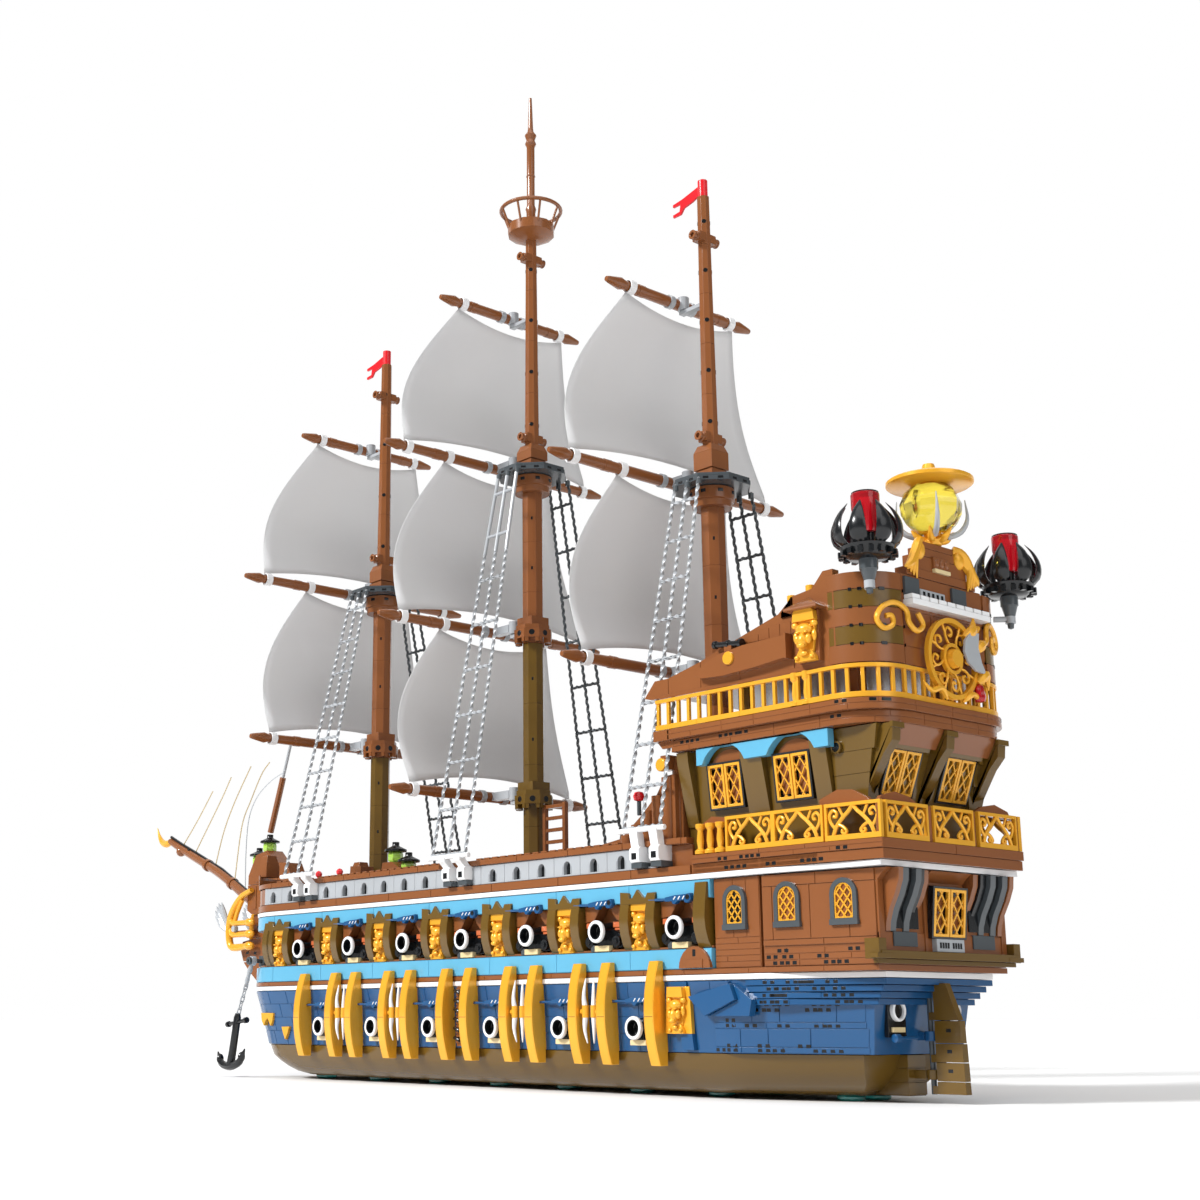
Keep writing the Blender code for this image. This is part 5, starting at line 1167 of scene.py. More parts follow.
poop = Pile("poop")
slab(poop[brown], [whole(castle_line(-277, -425, 61.5, 26)[1:])], 225.3, 231.8, "deck")
for side in (-1, 1):
    for k, (xa, xb) in enumerate(((-257.2, -277), (-277.3, -303), (-303.3, -333), (-333.3, -372.6),
            (-372.9, -401.5))):
        tops = [p for p in slope if xb < p[0] < xa]
        outline = [(xa, slope_top(xa))] + tops + [(xb, slope_top(xb)), (xb, 226),
            (xa - (6 if k == 0 else 0), 226)]
        slab(poop[brown], [outline], side * 57.6, side * 62.9)
    block(poop[brown], -398, -270, side * 57.4, side * 63.2, 225.3, 227.6)
    # A row of upright bricks under the slope, beside the small cannon.
    for k in range(5):
        x = -340.5 - 7.8 * k
        block(poop[brown], x - 7.5, x, side * 62, side * 63.4, 247.2, min(slope_top(x), 256.6) - 2.6)
    # The round log with its gold disc, and the small cannon on top.
    slab(poop[brown], [[(-371, 233.4), (-371, 246), (-340, 245.2), (-322, 243), (-310, 239), (-303, 233.6),
        (-309, 231.2), (-325, 230.4), (-350, 231.6)]], side * 62, side * 68.4)
    block(poop[brown], -372, -370.7, side * 62, side * 68.8, 232.8, 246.8)
    face = at((-330.2, side * 68.2, 239.5), -90 * side, "X")
    turned(poop[gold], [(0, 0), (3.8, 0), (3.8, 1.4), (3.3, 1.8), (0, 1.8)], face, 20)
    rod(poop[black], (-336.8, side * 66, 247.2), (-319, side * 66, 249.2), 1.9, 1.7, 12)
    for x, z in ((-337.6, 247.1), (-318.2, 249.3), (-328, 248.2)):
        rod(poop[black], (x - 1.1, side * 66, z - 0.1), (x + 1.1, side * 66, z + 0.1), 2.9 if x < -330 else 2.4,
            sides=12)
    block(poop[brown], -331.5, -326, side * 64, side * 67.6, 244, 247)
    for x in (-370.4, -383.6):
        hoop(poop[gold], 0, 2.5, 0, 3.4, (x, side * 60.2, slope_top(x) - 0.1), 14)
    wedge = [(-365.5, 256.6), (-365.5, 259.6), (-373, 267.4), (-373, 256.6)]
    for _ in range(3):
        slab(poop[brown], [wedge], side * 62.8, side * 64)
    # Pillars of the open gallery below.
    block(poop[olive], -330, -322, side * 47.4, side * 52.6, 206.4, 225.4)
    block(poop[brown], -400, -392, side * 36.4, side * 43.6, 206.4, 225.4)
ring = castle_line(-401, -425.4, 62.3, 26.4)[1:]
shell = ring + [(x + (4 if i < 4 else 0), y - 5) for i, (x, y) in reversed(list(enumerate(ring)))]
for side in (1, -1):
    slab(poop[brown], [[(x, side * y) for x, y in shell]], 225.4, 274.2, "deck")
block(poop[brown], -425.2, -417.8, -36.4, 36.4, 225.4, 274)
for k, top in enumerate((235, 245, 255, 260.4)):
    for y in (-36, -12.2, 12):
        block(poop[brown], -425.6, -425, y + (0 if k % 2 else 0.1), y + 23.8, top - 9.6 if k < 3 else 255.3, top)
poop.finish(0.25, ["poop"])

towers = Pile("towers")
arc_line = castle_line(-397, -426, 62.9, 27)[1:]
for z0, z1, mat in ((225.3, 235.2, brown), (235.2, 245.2, olive), (245.2, 255, brown), (255, 265, olive),
        (265, 274.4, brown)):
    course(towers[mat], arc_line, z0, z1, -425.9, -397.2, (200,), dice, 0.35 if mat is brown else 0.15)
for z in (235.2, 245.2, 255.2, 264.8):
    slots(towers[black], arc_line, z, (-424.6, -412.5), 0.6, 1.6, 1.7)
towers.finish(0.15, both=True)

corner_lion = Pile("corner_lions")
lion(corner_lion[gold], 1, 0)
cap = [[(-10.5, -8, z), (10.5, -8, z), (10.5, 7, z), (-10.5, 7, z)] for z in (28.6, 30)]
skin(corner_lion[brown], cap + [[(0, -2, 37)]])
block(corner_lion[brown], -7.4, 7.4, -8, 0.5, 0, 28.4)
corner_lion.finish(0.2, places=twins((-385.5, 66.2, 228.6), (0, 0, radians(6)), (1, 1, 0.98)))

# %% [markdown]
# ## The stern's crown
# Behind the lanterns stands a stepped crown with a white ledge, gold scrolls and a gold wing over each
# shoulder. Below it is a round filigree with a grey axe blade and a red gem.

# %% Crown, scrolls and filigree
crown = Pile("crown")
block(crown[brown], -425.6, -418, -36, 36, 260, 275)
block(crown[tan], -427.4, -420, -7, 7, 280, 282.2)
block(crown[brown], -426.6, -420, -7, 7, 282.4, 289)
for y in (-4.4, 0, 4.4):
    ball(crown[brown], (-426.6, y, 285.6), 1.9, 10, (0.6, 1, 1.3))
for size in ((-426, -418.2, -31, 31, 275.2, 280), (-425.4, -418.4, -24, 24, 280.2, 288),
        (-425.2, -418.6, -19, 19, 288.2, 293), (-425, -418.8, -13.5, 13.5, 293.2, 296.8)):
    block(crown[brown], *size)
for y0, y1 in ((22, 34.6), (-20.4, -7.6)):
    block(crown[slate], -427.2, -425.4, y0, y1, 263.2, 273.4)
block(crown[stone], -426.6, -425.4, -1.4, 20.6, 263.2, 268.6)
for k in range(5):
    block(crown[black], -426.9, -426.4, 0.4 + 4 * k, 2.4 + 4 * k, 264.4, 267.4)
block(crown[white], -432, -424.6, -35, 35, 257.2, 260.4)
for k in range(9):
    block(crown[white], -431.6, -426, -35 + 7.9 * k, -28.4 + 7.9 * k, 260.6, 263)
curve_line = through([(0, 27, 253.5), (0, 23, 247.6), (0, 28.5, 243.6), (0, 34.5, 247), (0, 36, 254),
    (0, 42.5, 257.6), (0, 50, 254.6), (0, 53.4, 248), (0, 49.6, 243.2), (0, 44.4, 245.4), (0, 44.8, 250.2),
    (0, 48.4, 249.8)], 5)
for side in (-1, 1):
    sweep(crown[gold], [(-428.6 + 0.35 * max(0, abs(p.y) - 34), side * p.y, p.z) for p in curve_line], 1.5, 8)
    # A gold wing is draped over each shoulder of the crown, its feathers hanging outwards.
    ball(crown[gold], (-424.8, side * 18, 291), 4.6, 14, (0.7, 1, 1.2))
    for k in range(5):
        sweep(crown[gold], through([(-424, side * 15, 298 - 0.6 * k),
            (-426.4, side * (20 + 0.9 * k), 294.5 - 1.8 * k), (-427.4, side * (24.5 + 1.3 * k), 287 - 1.5 * k),
            (-426.6, side * (23 + 2.6 * k), 274 + 1.2 * k)], 3), [1.4, 2, 2.4, 2.6, 2.6, 2.5, 2.2, 1.8, 1.2, 0.4],
            8)
crown.finish(0.2)

disc = Pile("filigree")
centre = at((-429.4, 0, 232), 90)
slab(disc[gold], [arc(0, 0, 22.4, 0, 352.5, 47), arc(0, 0, 19.8, 0, 352.5, 47)], -1.4, 1.4, "side", centre)
slab(disc[gold], [arc(0, 0, 8.6, 0, 345, 23), arc(0, 0, 6.6, 0, 345, 23)], -1.2, 1.2, "side", centre)
for k in range(8):
    turn = centre @ Matrix.Rotation(tau * k / 8, 4, "Y")
    leaf = through([(0.6, 0, 7), (3.6, 0, 10.2), (5, 0, 14.4), (2.4, 0, 17.4), (-0.8, 0, 15.6), (0, 0, 12.6),
        (2, 0, 13.4)], 4)
    sweep(disc[gold], [turn @ p for p in leaf], 0.75, 6)
    sweep(disc[gold], [turn @ Vector(p) for p in ((5, 0, 14.4), (6.8, 0, 18), (6.4, 0, 20.6))], 0.75, 6)
turned(disc[gold], [(0, -3), (4.8, -3), (5.6, 0.6), (3.2, 2.4), (0, 3)], (-430.4, 0, 232), 20, "X")
slab(disc[stone], [[(-6, 236.5), (-7.4, 243), (-12, 247.4), (-20.4, 248.4), (-19, 240), (-21.4, 232), (-25, 226),
    (-16, 226.8), (-9.4, 230.6)]], -433.8, -432.4, "cross")
for dy, dz, tilt in ((-17, 250, 8), (-25, 243, 3), (-27, 226, -8)):
    sweep(disc[gold], through([(-430.6, dy + 7, dz - 5), (-431.6, dy, dz), (-430.8, dy - 3, dz + tilt)], 4),
        [1.6, 2.6, 3.2, 3.3, 3, 2.4, 1.6, 1, 0.4], 8)
turned(disc[ruby], [(0, 0), (2.6, 0.6), (3.4, 3.2), (2.2, 9), (0, 11)], (-431.6, -20.5, 210), 8)
for side in (-1, 1):
    sweep(disc[gold], through([(-430, side * 7, 209), (-431.4, side * 14, 214), (-431, side * 22, 212),
        (-429.6, side * 27, 217)], 4), [0.6, 1.2, 1.7, 1.9, 1.7, 1.5, 1.6, 1.6, 1.4, 1.2, 0.9, 0.6, 0.3], 8)
disc.finish(0.1, ["filigree_disc"])

# %% [markdown]
# ## Lanterns, helm and rudder
# The side lanterns are clear red tubes in a crown of eight black horns on a toothed ring. The middle one
# is an amber globe under a gold dish.

# %% The three stern lanterns
side_lamps = Pile("side_lanterns")
for side in (-1, 1):
    centre = Vector((-426, side * 63.5, 0))
    turned(side_lamps[ruby], [(0, 291.5), (6.6, 291.5), (7.2, 293.5), (7.2, 303), (7.6, 305), (7.6, 312.6),
        (6.8, 313.6), (0, 313.6)], centre, 16)
    turned(side_lamps[black], [(3.8, 312.6), (7, 312.4), (7.2, 313.8), (4, 314)], centre, 20, loop=True)
    turned(side_lamps[black], [(0, 277), (10, 277.6), (13.6, 280.4), (14.6, 283.6), (11, 285), (4, 286),
        (4.2, 291.4), (0, 291.4)], centre, 20)
    for k in range(16):
        a = tau * k / 16
        block(side_lamps[black], 12.6, 15.6, -1.2, 1.2, 278.2, 281.2,
            Matrix.Translation(centre) @ Matrix.Rotation(a, 4, "Z"))
    for k in range(8):
        a = tau * (k + 0.5) / 8
        out, across = Vector((cos(a), sin(a), 0)), Vector((-sin(a), cos(a), 0))
        line = through([out * r + Vector((0, 0, z)) for r, z in ((11.5, 283), (16.6, 287), (17.6, 294),
            (15.2, 301), (10.8, 307))], 3)
        petal = []
        for i, (p, wide) in enumerate(zip(line, (2.2, 3.2, 4, 4.4, 4.5, 4.4, 4.2, 3.8, 3.3, 2.7, 2, 1.2, 0.4))):
            normal = (line[min(i + 1, 12)] - line[max(i - 1, 0)]).normalized().cross(across)
            petal.append([centre + p + across * wide * cos(b) + normal * wide * 0.32 * sin(b)
                for b in [tau * j / 10 for j in range(10)]])
        skin(side_lamps[black], petal)
    turned(side_lamps[slate], [(0, 258.4), (1.6, 259), (2.2, 263.6), (2.4, 264), (4.4, 271.4), (5, 272),
        (5, 277.8), (0, 277.8)], centre, 12)
    rod(side_lamps[stone], centre + Vector((6.6, -side * 6.6, 264.4)), centre + Vector((1.4, -side * 1.4, 264.4)),
        1.7, sides=12)
    rod(side_lamps[stone], centre + Vector((0, 0, 261.8)), centre + Vector((0, 0, 267)), 2.9, sides=12)
side_lamps.finish(0, ["side_lantern_port", "side_lantern_starboard"])

big_lamp = Pile("stern_lamp")
LAMP_X = -422
turned(big_lamp[gold], [(0, 297), (4.6, 297), (6, 299.6), (3.6, 301), (5, 303.4), (0, 304)], (LAMP_X, 0, 0), 20)
for k in range(6):
    a = tau * k / 6
    out = Vector((cos(a), sin(a), 0))
    sweep(big_lamp[gold], through([Vector((LAMP_X, 0, z)) + out * r
        for r, z in ((2.5, 299.4), (8, 300.8), (12.4, 305.4))], 4), [1.8, 2, 2.1, 2.2, 2.1, 1.8, 1.4, 1, 0.4], 8)
turned(big_lamp[amber], [(0, 303.6), (8.4, 303.8), (13.8, 309.4), (16.6, 315), (17.2, 321), (14.2, 328),
    (9.6, 332), (0, 332)], (LAMP_X, 0, 0), 8)
turned(big_lamp[gold], [(9, 331.4), (22.8, 331.6), (24, 332.4), (24, 334.2), (22.8, 335), (8.6, 339.8),
    (4, 341.6), (3.2, 344.2), (1.2, 344.5), (0, 344.5), (0, 331.4)], (LAMP_X, 0, 0), 32)
for k in range(4):
    a = tau * (k + 0.5) / 4
    out = Vector((cos(a), sin(a), 0))
    sweep(big_lamp[stone], through([Vector((LAMP_X, 0, z)) + out * r
        for r, z in ((8, 301.6), (15.4, 304.6), (19.4, 312), (18.6, 323))], 4),
        [1.7, 1.7, 1.7, 1.6, 1.6, 1.5, 1.4, 1.3, 1.1, 0.9, 0.7, 0.5, 0.3], 8)
big_lamp.finish(0, ["stern_lantern"])

# %% Helm and rudder
wheel = Pile("wheel", "helm")
wheel_at = at((-322, 0, 215.6), 90, "Y")
hoop(wheel[gold], 6.5, 8.3, -0.9, 0.9, wheel_at, 28)
hoop(wheel[gold], 1.1, 2.4, -1.6, 1.6, wheel_at)
for k in range(8):
    turn = wheel_at @ Matrix.Rotation(tau * k / 8, 4, "Z")
    rod(wheel[gold], turn @ Vector((2, 0, 0)), turn @ Vector((8.4, 0, 0)), 0.6, sides=8)
wheel.finish(0.08, ["helm_wheel"])

blade = Pile("blade", "rudder")
for z0, z1, rear in ((4.8, 11, -423), (11.3, 20.6, -422.8), (20.9, 30.2, -422.4), (30.5, 41.8, -421.8)):
    slab(blade[olive], [[(-405.8, z0), (rear - 0.3, z0), (rear, z1), (-405.8, z1)]], -2.4, 2.4)
slab(blade[olive], [[(-405.8, 42.1), (-421, 42.1), (-414, 61), (-405.8, 61)]], -2.2, 2.2)
for z in (4.8, 20.7, 42.2):
    block(blade[olive], -407, STERNPOST, -1.5, 1.5, z, z + 4)
for z in (15.6, 25.4, 36):
    block(blade[black], -416, -413, -2.55, 2.55, z, z + 1.8)
rod(blade[slate], (STERNPOST, 0, 4.5), (STERNPOST, 0, 61), 1.5, sides=14)
blade.finish(0.15, ["rudder"])

# %% [markdown]
# ## Masts and platforms
# A mast is a stack of eight-sided bricks with small slots. Collars with pin holes carry the yards,
# and a round dish holds the dark platform. Black marks in the slots and holes paint the shade inside them.
# The sizes are kept in one table, one row for each mast.

# %% The mast table
# Each mast has its x, the heights where the olive bricks, the platform and the two crosspieces begin,
# and its yards: a name, how far before the mast the yard hangs, its height and half its length.
MASTS = {
    "fore": dict(x=97.4, olive=239.5, collars=[239.5], dish=354.5, top=367.5, cross=396, head=565, head_cross=537,
                 yards=[("lower", 41.4, 253, 92.5), ("middle", 35, 376, 105.8), ("upper", 24.7, 496.7, 64)]),
    "main": dict(x=-84.1, olive=299, collars=[182.5, 299], dish=409.4, top=421.5, cross=448, head=607, head_cross=592,
                 yards=[("lower", 44.8, 195.7, 90.2), ("middle", 43, 314.7, 103.2), ("topsail", 39, 438, 103.4),
                        ("upper", 23.1, 551.6, 67.1)]),
    "mizzen": dict(x=-258.3, olive=127.8, collars=[], dish=357, top=369.5, cross=401, head=573, head_cross=543,
                   yards=[("lower", 40, 257.6, 93.7), ("middle", 34.6, 382.7, 107.8), ("upper", 23.4, 503.7, 67.4)]),
}
EIGHTH = radians(22.5)  # turns an eight-sided brick flat side forward
PEG_REACH = 20.5  # from a mast to the peg that its yards turn on


def stack(pile, x, z0, z1, r0, r1, tall, mat):
    """Eight-sided bricks one on another, with small slots, or round holes in the thin upper mast, painted black as
    their shade.
    """
    count = max(1, round((z1 - z0) / tall))
    for k in range(count):
        a, b = k / count, (k + 1) / count
        low, high = z0 + (z1 - z0) * a, z0 + (z1 - z0) * b
        ra, rb = r0 + (r1 - r0) * a, r0 + (r1 - r0) * b
        rod(pile[mat], (x, 0, low + 0.03), (x, 0, high - 0.03), ra, rb, 8, EIGHTH)
        for turn in range(4):
            spin = at((x, 0, 0), 45 + 90 * turn)
            if r0 > 6:
                block(pile[black], ra * 0.86, ra * 0.935, -0.7, 0.7, low + 0.42 * tall, low + 0.42 * tall + 2.4,
                    spin)
            else:
                rod(pile[black], spin @ Vector((rb * 0.8, 0, low + 0.42 * tall)),
                    spin @ Vector((ra * 0.95, 0, low + 0.42 * tall)), 1.5, sides=14)


for name, spec in MASTS.items():
    x, top = spec["x"], spec["top"]
    mast = Pile("mast_" + name)
    wide = 8 if name == "mizzen" else 7.6
    if spec["olive"] > 130:
        stack(mast, x, 127.8, spec["olive"], wide, wide, 38.4, olive)
    stack(mast, x, spec["olive"] + 0.2, spec["dish"], wide, wide, 38.4, brown)
    for z in spec["collars"]:
        tone = olive if z < 200 else brown
        rod(mast[tone], (x, 0, z + 3.2), (x, 0, z + 9.6), 13.9, sides=8, turn=EIGHTH)
        rod(mast[tone], (x, 0, z + 9.7), (x, 0, z + 12.8), 12.6, sides=8, turn=EIGHTH)
        # Each pin hole is a black disc, as painted shade inside the hole.
        for k in range(8):
            spin = at((x, 0, 0), 45 * k)
            for dy in (-3.6, 3.6):
                block(mast[tone], 8.6, 12.7, dy - 1.3, dy + 1.3, z + 0.2, z + 3.3, spin)
            rod(mast[black], spin @ Vector((12.4, 0, z + 6.6)), spin @ Vector((12.95, 0, z + 6.6)), 2.1, sides=14)
        block(mast[tone], x - 7.9, x + 7.9, -7.9, 7.9, z + 12.9, z + 19)
    turned(mast[brown], [(0, spec["dish"]), (12.5, spec["dish"]), (12.9, spec["dish"] + 4),
        (14.2, spec["dish"] + 4.4), (14.2, top - 0.5), (0, top - 0.5)], (x, 0, 0), 24)
    # Black blocks round the dish paint the shade in its slots.
    for k in range(8):
        spin = at((x, 0, 0), 45 * k + 20)
        block(mast[black], 13.6, 14.45, -1.6, 1.6, top - 4.6, top - 2.4, spin)
    rod(mast[brown], (x, 0, top - 1), (x, 0, top + 7), 7.5, sides=8, turn=EIGHTH)
    block(mast[brown], x - 7.9, x + 7.9, -7.9, 7.9, top + 5.6, top + 12)
    block(mast[brown], x - 6.6, x + 6.6, -6.6, 6.6, top + 12, top + 13)
    block(mast[brown], x - 7.9, x + 7.9, -7.9, 7.9, top + 13, spec["cross"] - 7)
    skin(mast[brown], [[(x + u * s, v * s, z) for u, v in ((-1, -1), (1, -1), (1, 1), (-1, 1))]
        for s, z in ((7.9, spec["cross"] - 7), (6, spec["cross"] - 2))])
    for z, thick in ((spec["cross"] + 3.2, 3.2), (spec["head_cross"], 3)):
        block(mast[brown], x - 3.5, x + 3.5, -7.6, 7.6, z - thick, z + thick)
        for side in (-1, 1):
            turned(mast[brown], [(0, 7.4), (3.4, 7.4), (3.4, 8.6), (2.6, 9), (2.6, 10.4), (3.2, 10.8),
                (3.2, 11.6), (1.6, 11.6), (1.6, 10), (0, 10)], at((x, 0, z), -90 * side, "X"), 16)
    stack(mast, x, spec["cross"] - 2.6, spec["head"], 5.4, 4.2, 38.4, brown)
    for _, _, z, _ in spec["yards"]:
        above = z - top < 12 and z > top
        up = 1 if above else -1
        low, high = sorted((z + up * 5, z + up * 7.6))
        block(mast[stone], x + 3, x + 22.4, -2.3, 2.3, low, high)
        low, high = sorted((z + up * 7, z - up * (2.8 if above else 4.6)))
        rod(mast[stone], (x + PEG_REACH, 0, low), (x + PEG_REACH, 0, high), 1.5, sides=12)
    if name == "main":
        turned(mast[brown], [(0, 606.8), (8, 606.8), (17.4, 611.6), (17.6, 618.9), (16.2, 618.9), (15.6, 617.4),
            (0, 617.4)], (x, 0, 0), 12)
        for k in range(8):
            a = radians(45 * k + 22.5)
            rod(mast[brown], (x + 16.6 * cos(a), 16.6 * sin(a), 616.4), (x + 22.2 * cos(a), 22.2 * sin(a), 631.2),
                0.9, sides=8)
        sweep(mast[brown], [(u, v, 631.4) for u, v in arc(x, 0, 22.3, 0, 348.75, 31)], 1.5, 8, closed=True)
        turned(mast[brown], [(0, 725.5), (1.1, 725.5), (2, 700), (2.4, 697), (4.5, 694), (3.2, 690), (4.3, 687),
            (3, 684), (3, 660.6), (3.6, 660), (3, 659.4), (3, 636), (4.1, 633), (3.4, 630), (3.4, 612), (0, 612)],
            (x, 0, 0), 14)
        # The ladder beside the lower mast.
        for dx in (-12, -32):
            block(mast[brown], x + dx - 1.4, x + dx + 1.4, -1.6, 1.6, 128, 185)
        for k in range(7):
            block(mast[brown], x - 31, x - 13, -1.2, 1.2, 134 + 8 * k, 136.4 + 8 * k)
    else:
        head = spec["head"]
        rod(mast[red], (x, 0, head - 2), (x, 0, head + 12), 3.3, sides=16)
        cloth = [(x + 2.6, head + 3), (x + 9, head + 0.5), (x + 17, head - 1), (x + 20, head - 4.5),
            (x + 27, head - 4.5), (x + 27, head - 2.5), (x + 21, head - 2), (x + 20, head + 3),
            (x + 27, head + 3), (x + 27, head + 5), (x + 18, head + 6), (x + 9, head + 8), (x + 2.6, head + 9.5)]
        slab(mast[red], [cloth], -0.8, 0.8)
    mast.finish(0.15, ["mast_" + name])

# %% [markdown]
# ## Shroud nets
# The third tree makes rope: a three-lobed section is turned evenly along each line, which shows as the
# lay of the strands. The nets on the port side are light grey, those to starboard are dark.

# %% Rope tree and the six nets
rope, given = new_tree("rope along a line", (("Geometry", "Geometry"), ("Radius", "Float"),
    ("Turns per metre", "Float"), ("Step", "Float"), ("Plastic", "Material")))
stations = add(rope, "GeometryNodeResampleCurve", {"Curve": given["Geometry"], "Length": given["Step"]},
    mode="LENGTH")
along = add(rope, "GeometryNodeSplineParameter")
turns = add(rope, "ShaderNodeMath", {0: along.outputs["Length"], 1: given["Turns per metre"]},
    operation="MULTIPLY")
lay = add(rope, "ShaderNodeMath", {0: turns, 1: tau}, operation="MULTIPLY")
tilted = add(rope, "GeometryNodeSetCurveTilt", {"Curve": stations, "Tilt": lay})
inner = add(rope, "ShaderNodeMath", {0: given["Radius"], 1: 0.55}, operation="MULTIPLY")
section = add(rope, "GeometryNodeCurveStar", {"Points": 3, "Inner Radius": inner,
    "Outer Radius": given["Radius"]})
made = add(rope, "GeometryNodeCurveToMesh", {"Curve": tilted, "Profile Curve": section, "Fill Caps": True})
paint(rope, given, made)

# The feet of each mast's nets: their middle, how far out they stand, half their spread and their height.
# At the head every net is equally wide and equally far out.
NET_HEAD_HALF, NET_HEAD_OUT = 10, 24
SHROUDS = {"fore": (99.5, 72.4, 17.5, 146), "main": (-81.5, 72.4, 17.5, 146.5),
    "mizzen": (-259.3, 69.6, 15, 149.6)}


def ropes(lines, radius, mat, name, twist=60, step=1.3):
    """One rope along each line, in mm."""
    values = {"Radius": radius * MM, "Turns per metre": twist, "Step": step * MM, "Plastic": mat}
    belong(run_tree(line_object(lines), rope, values, name), "ship", mat)


def net_point(name, u, t, side):
    """A point of a net: u from -1 to 1 along the ship, t from foot to head."""
    feet, out, spread, foot = SHROUDS[name]
    wide = spread + (NET_HEAD_HALF - spread) * t
    return (feet + (MASTS[name]["x"] - 1.4 - feet) * t + u * wide, side * (out + (NET_HEAD_OUT - out) * t),
        foot + (MASTS[name]["top"] + 1 - foot) * t)


for side, mat, side_name in ((1, stone, "port"), (-1, slate, "starboard")):
    lines = []
    for name in SHROUDS:
        last = 0.78 if name == "main" and side > 0 else 1
        for u in (-1, 0, 1):
            lines.append([net_point(name, u, 0.003, side), net_point(name, u, last, side)])
        for k in range(9):
            t = 0.94 * k / 8 + (0.006 if k == 0 else 0)
            if t < last:
                lines.append([net_point(name, -1.04, t, side), net_point(name, 1.04, t, side)])
    ropes(lines, 1.3, mat, "nets_" + side_name)
    # A black core between the strands paints the shade in the rope's lay.
    ropes(lines, 0.95, black, "net_cores_" + side_name, step=9)

platforms = Pile("platforms")
for name, spec in MASTS.items():
    x, top = spec["x"], spec["top"]
    for radius, z0, z1 in ((25.8, top, top + 3), (25.2, top + 3.2, top + 4.9)):
        slab(platforms[slate], [arc(x, 0, r, 22.5, 337.5, 7) for r in (radius, 8.3)], z0, z1, "deck")
    for k in range(8):
        # Black blocks round the rim paint the shade in its slots.
        spin = at((x, 0, 0), 45 * k)
        for dy in (-4.6, 4.6):
            block(platforms[black], 22.9, 24, dy - 1.8, dy + 1.8, top + 0.7, top + 2.4, spin)
    for side in (-1, 1):
        for u in (-1, 0, 1):
            px, py, _ = net_point(name, u, 1, side)
            rod(platforms[slate], (px, py, top - 3.4), (px, py, top + 0.4), 1.8, sides=10)
for u in (-1, 0, 1):
    rod(platforms[stone], net_point("main", u, 0.775, 1), net_point("main", u, 0.985, 1), 1.3, sides=10)
for t in (0.8225, 0.94):
    rod(platforms[stone], net_point("main", -1, t, 1), net_point("main", 1, t, 1), 1.2, sides=10)
platforms.finish(0.2, ["platform_fore", "platform_main", "platform_mizzen"])

# %% [markdown]
# ## Yards and sails
# The yards swing with their sails. Each sail is a thin translucent film, cut with a hollow foot and
# bellied forward, held to its yards by white straps.

# %% Yards
for name, spec in MASTS.items():
    x = spec["x"]
    for level, reach, z, half in spec["yards"]:
        yard = Pile("yard_%s_%s" % (name, level), name + "_yards")
        line = [(x + reach, y, z) for y in (-half, -half + 2, -half + 12, -half + 15, -half * 0.6, 0, half * 0.6,
            half - 15, half - 12, half - 2, half)]
        sweep(yard[brown], line, [3.8 * r for r in (0.45, 0.6, 1.08, 0.86, 0.96, 1, 0.96, 0.86, 1.08, 0.6, 0.45)],
            14)
        for y in (-half * 0.55, half * 0.55):
            hoop(yard[brown], 0, 4, y - 3, y + 3, (x + reach, 0, z), 14, "Y")
        for y in (-10, 10):
            hoop(yard[stone], 3.2, 4.6, y - 2, y + 2, (x + reach, 0, z), 16, "Y")
        under = -3 if (name, level) == ("fore", "middle") else -4.5
        hoop(yard[stone], 1.9, 3.9, under, 4.5, (x + PEG_REACH, 0, z))
        if reach > 25:
            block(yard[stone], x + 23.6, x + reach + 0.4, -2.9, 2.9, z - 2.9, z + 2.9)
        yard.finish(0.15, ["yard_%s_%s" % (name, level)])

# %% Sails
BELLY = 24  # how far the film stands forward in its middle
SIDE_BULGE = 13
FOOT_HOLLOW, HEAD_HOLLOW = 9, 8
TIE = 4.25  # from a yard's middle to the film's edge


def sail_point(u, v, low, high, x):
    """A point of a sail: u runs from -1 to 1 across, and v from 0 at the head to 1 at the foot."""
    (_, reach_low, z_low, half_low), (_, reach_high, z_high, half_high) = low, high
    head_half = min(50, half_high - 15)
    head_z, foot_z = z_high - TIE, z_low + TIE
    half = head_half + (half_low - 17 - head_half) * v ** 1.3 + SIDE_BULGE * sin(pi * v) ** 0.9
    rise = (1 - u * u) * (FOOT_HOLLOW * v ** 3 - HEAD_HOLLOW * (1 - v) ** 3)
    out = BELLY * sin(pi * min(1, v * 1.02)) * (1 - 0.38 * u * u)
    return Vector((x + reach_high + (reach_low - reach_high) * v + out, half * u,
        head_z + (foot_z - head_z) * v + rise))


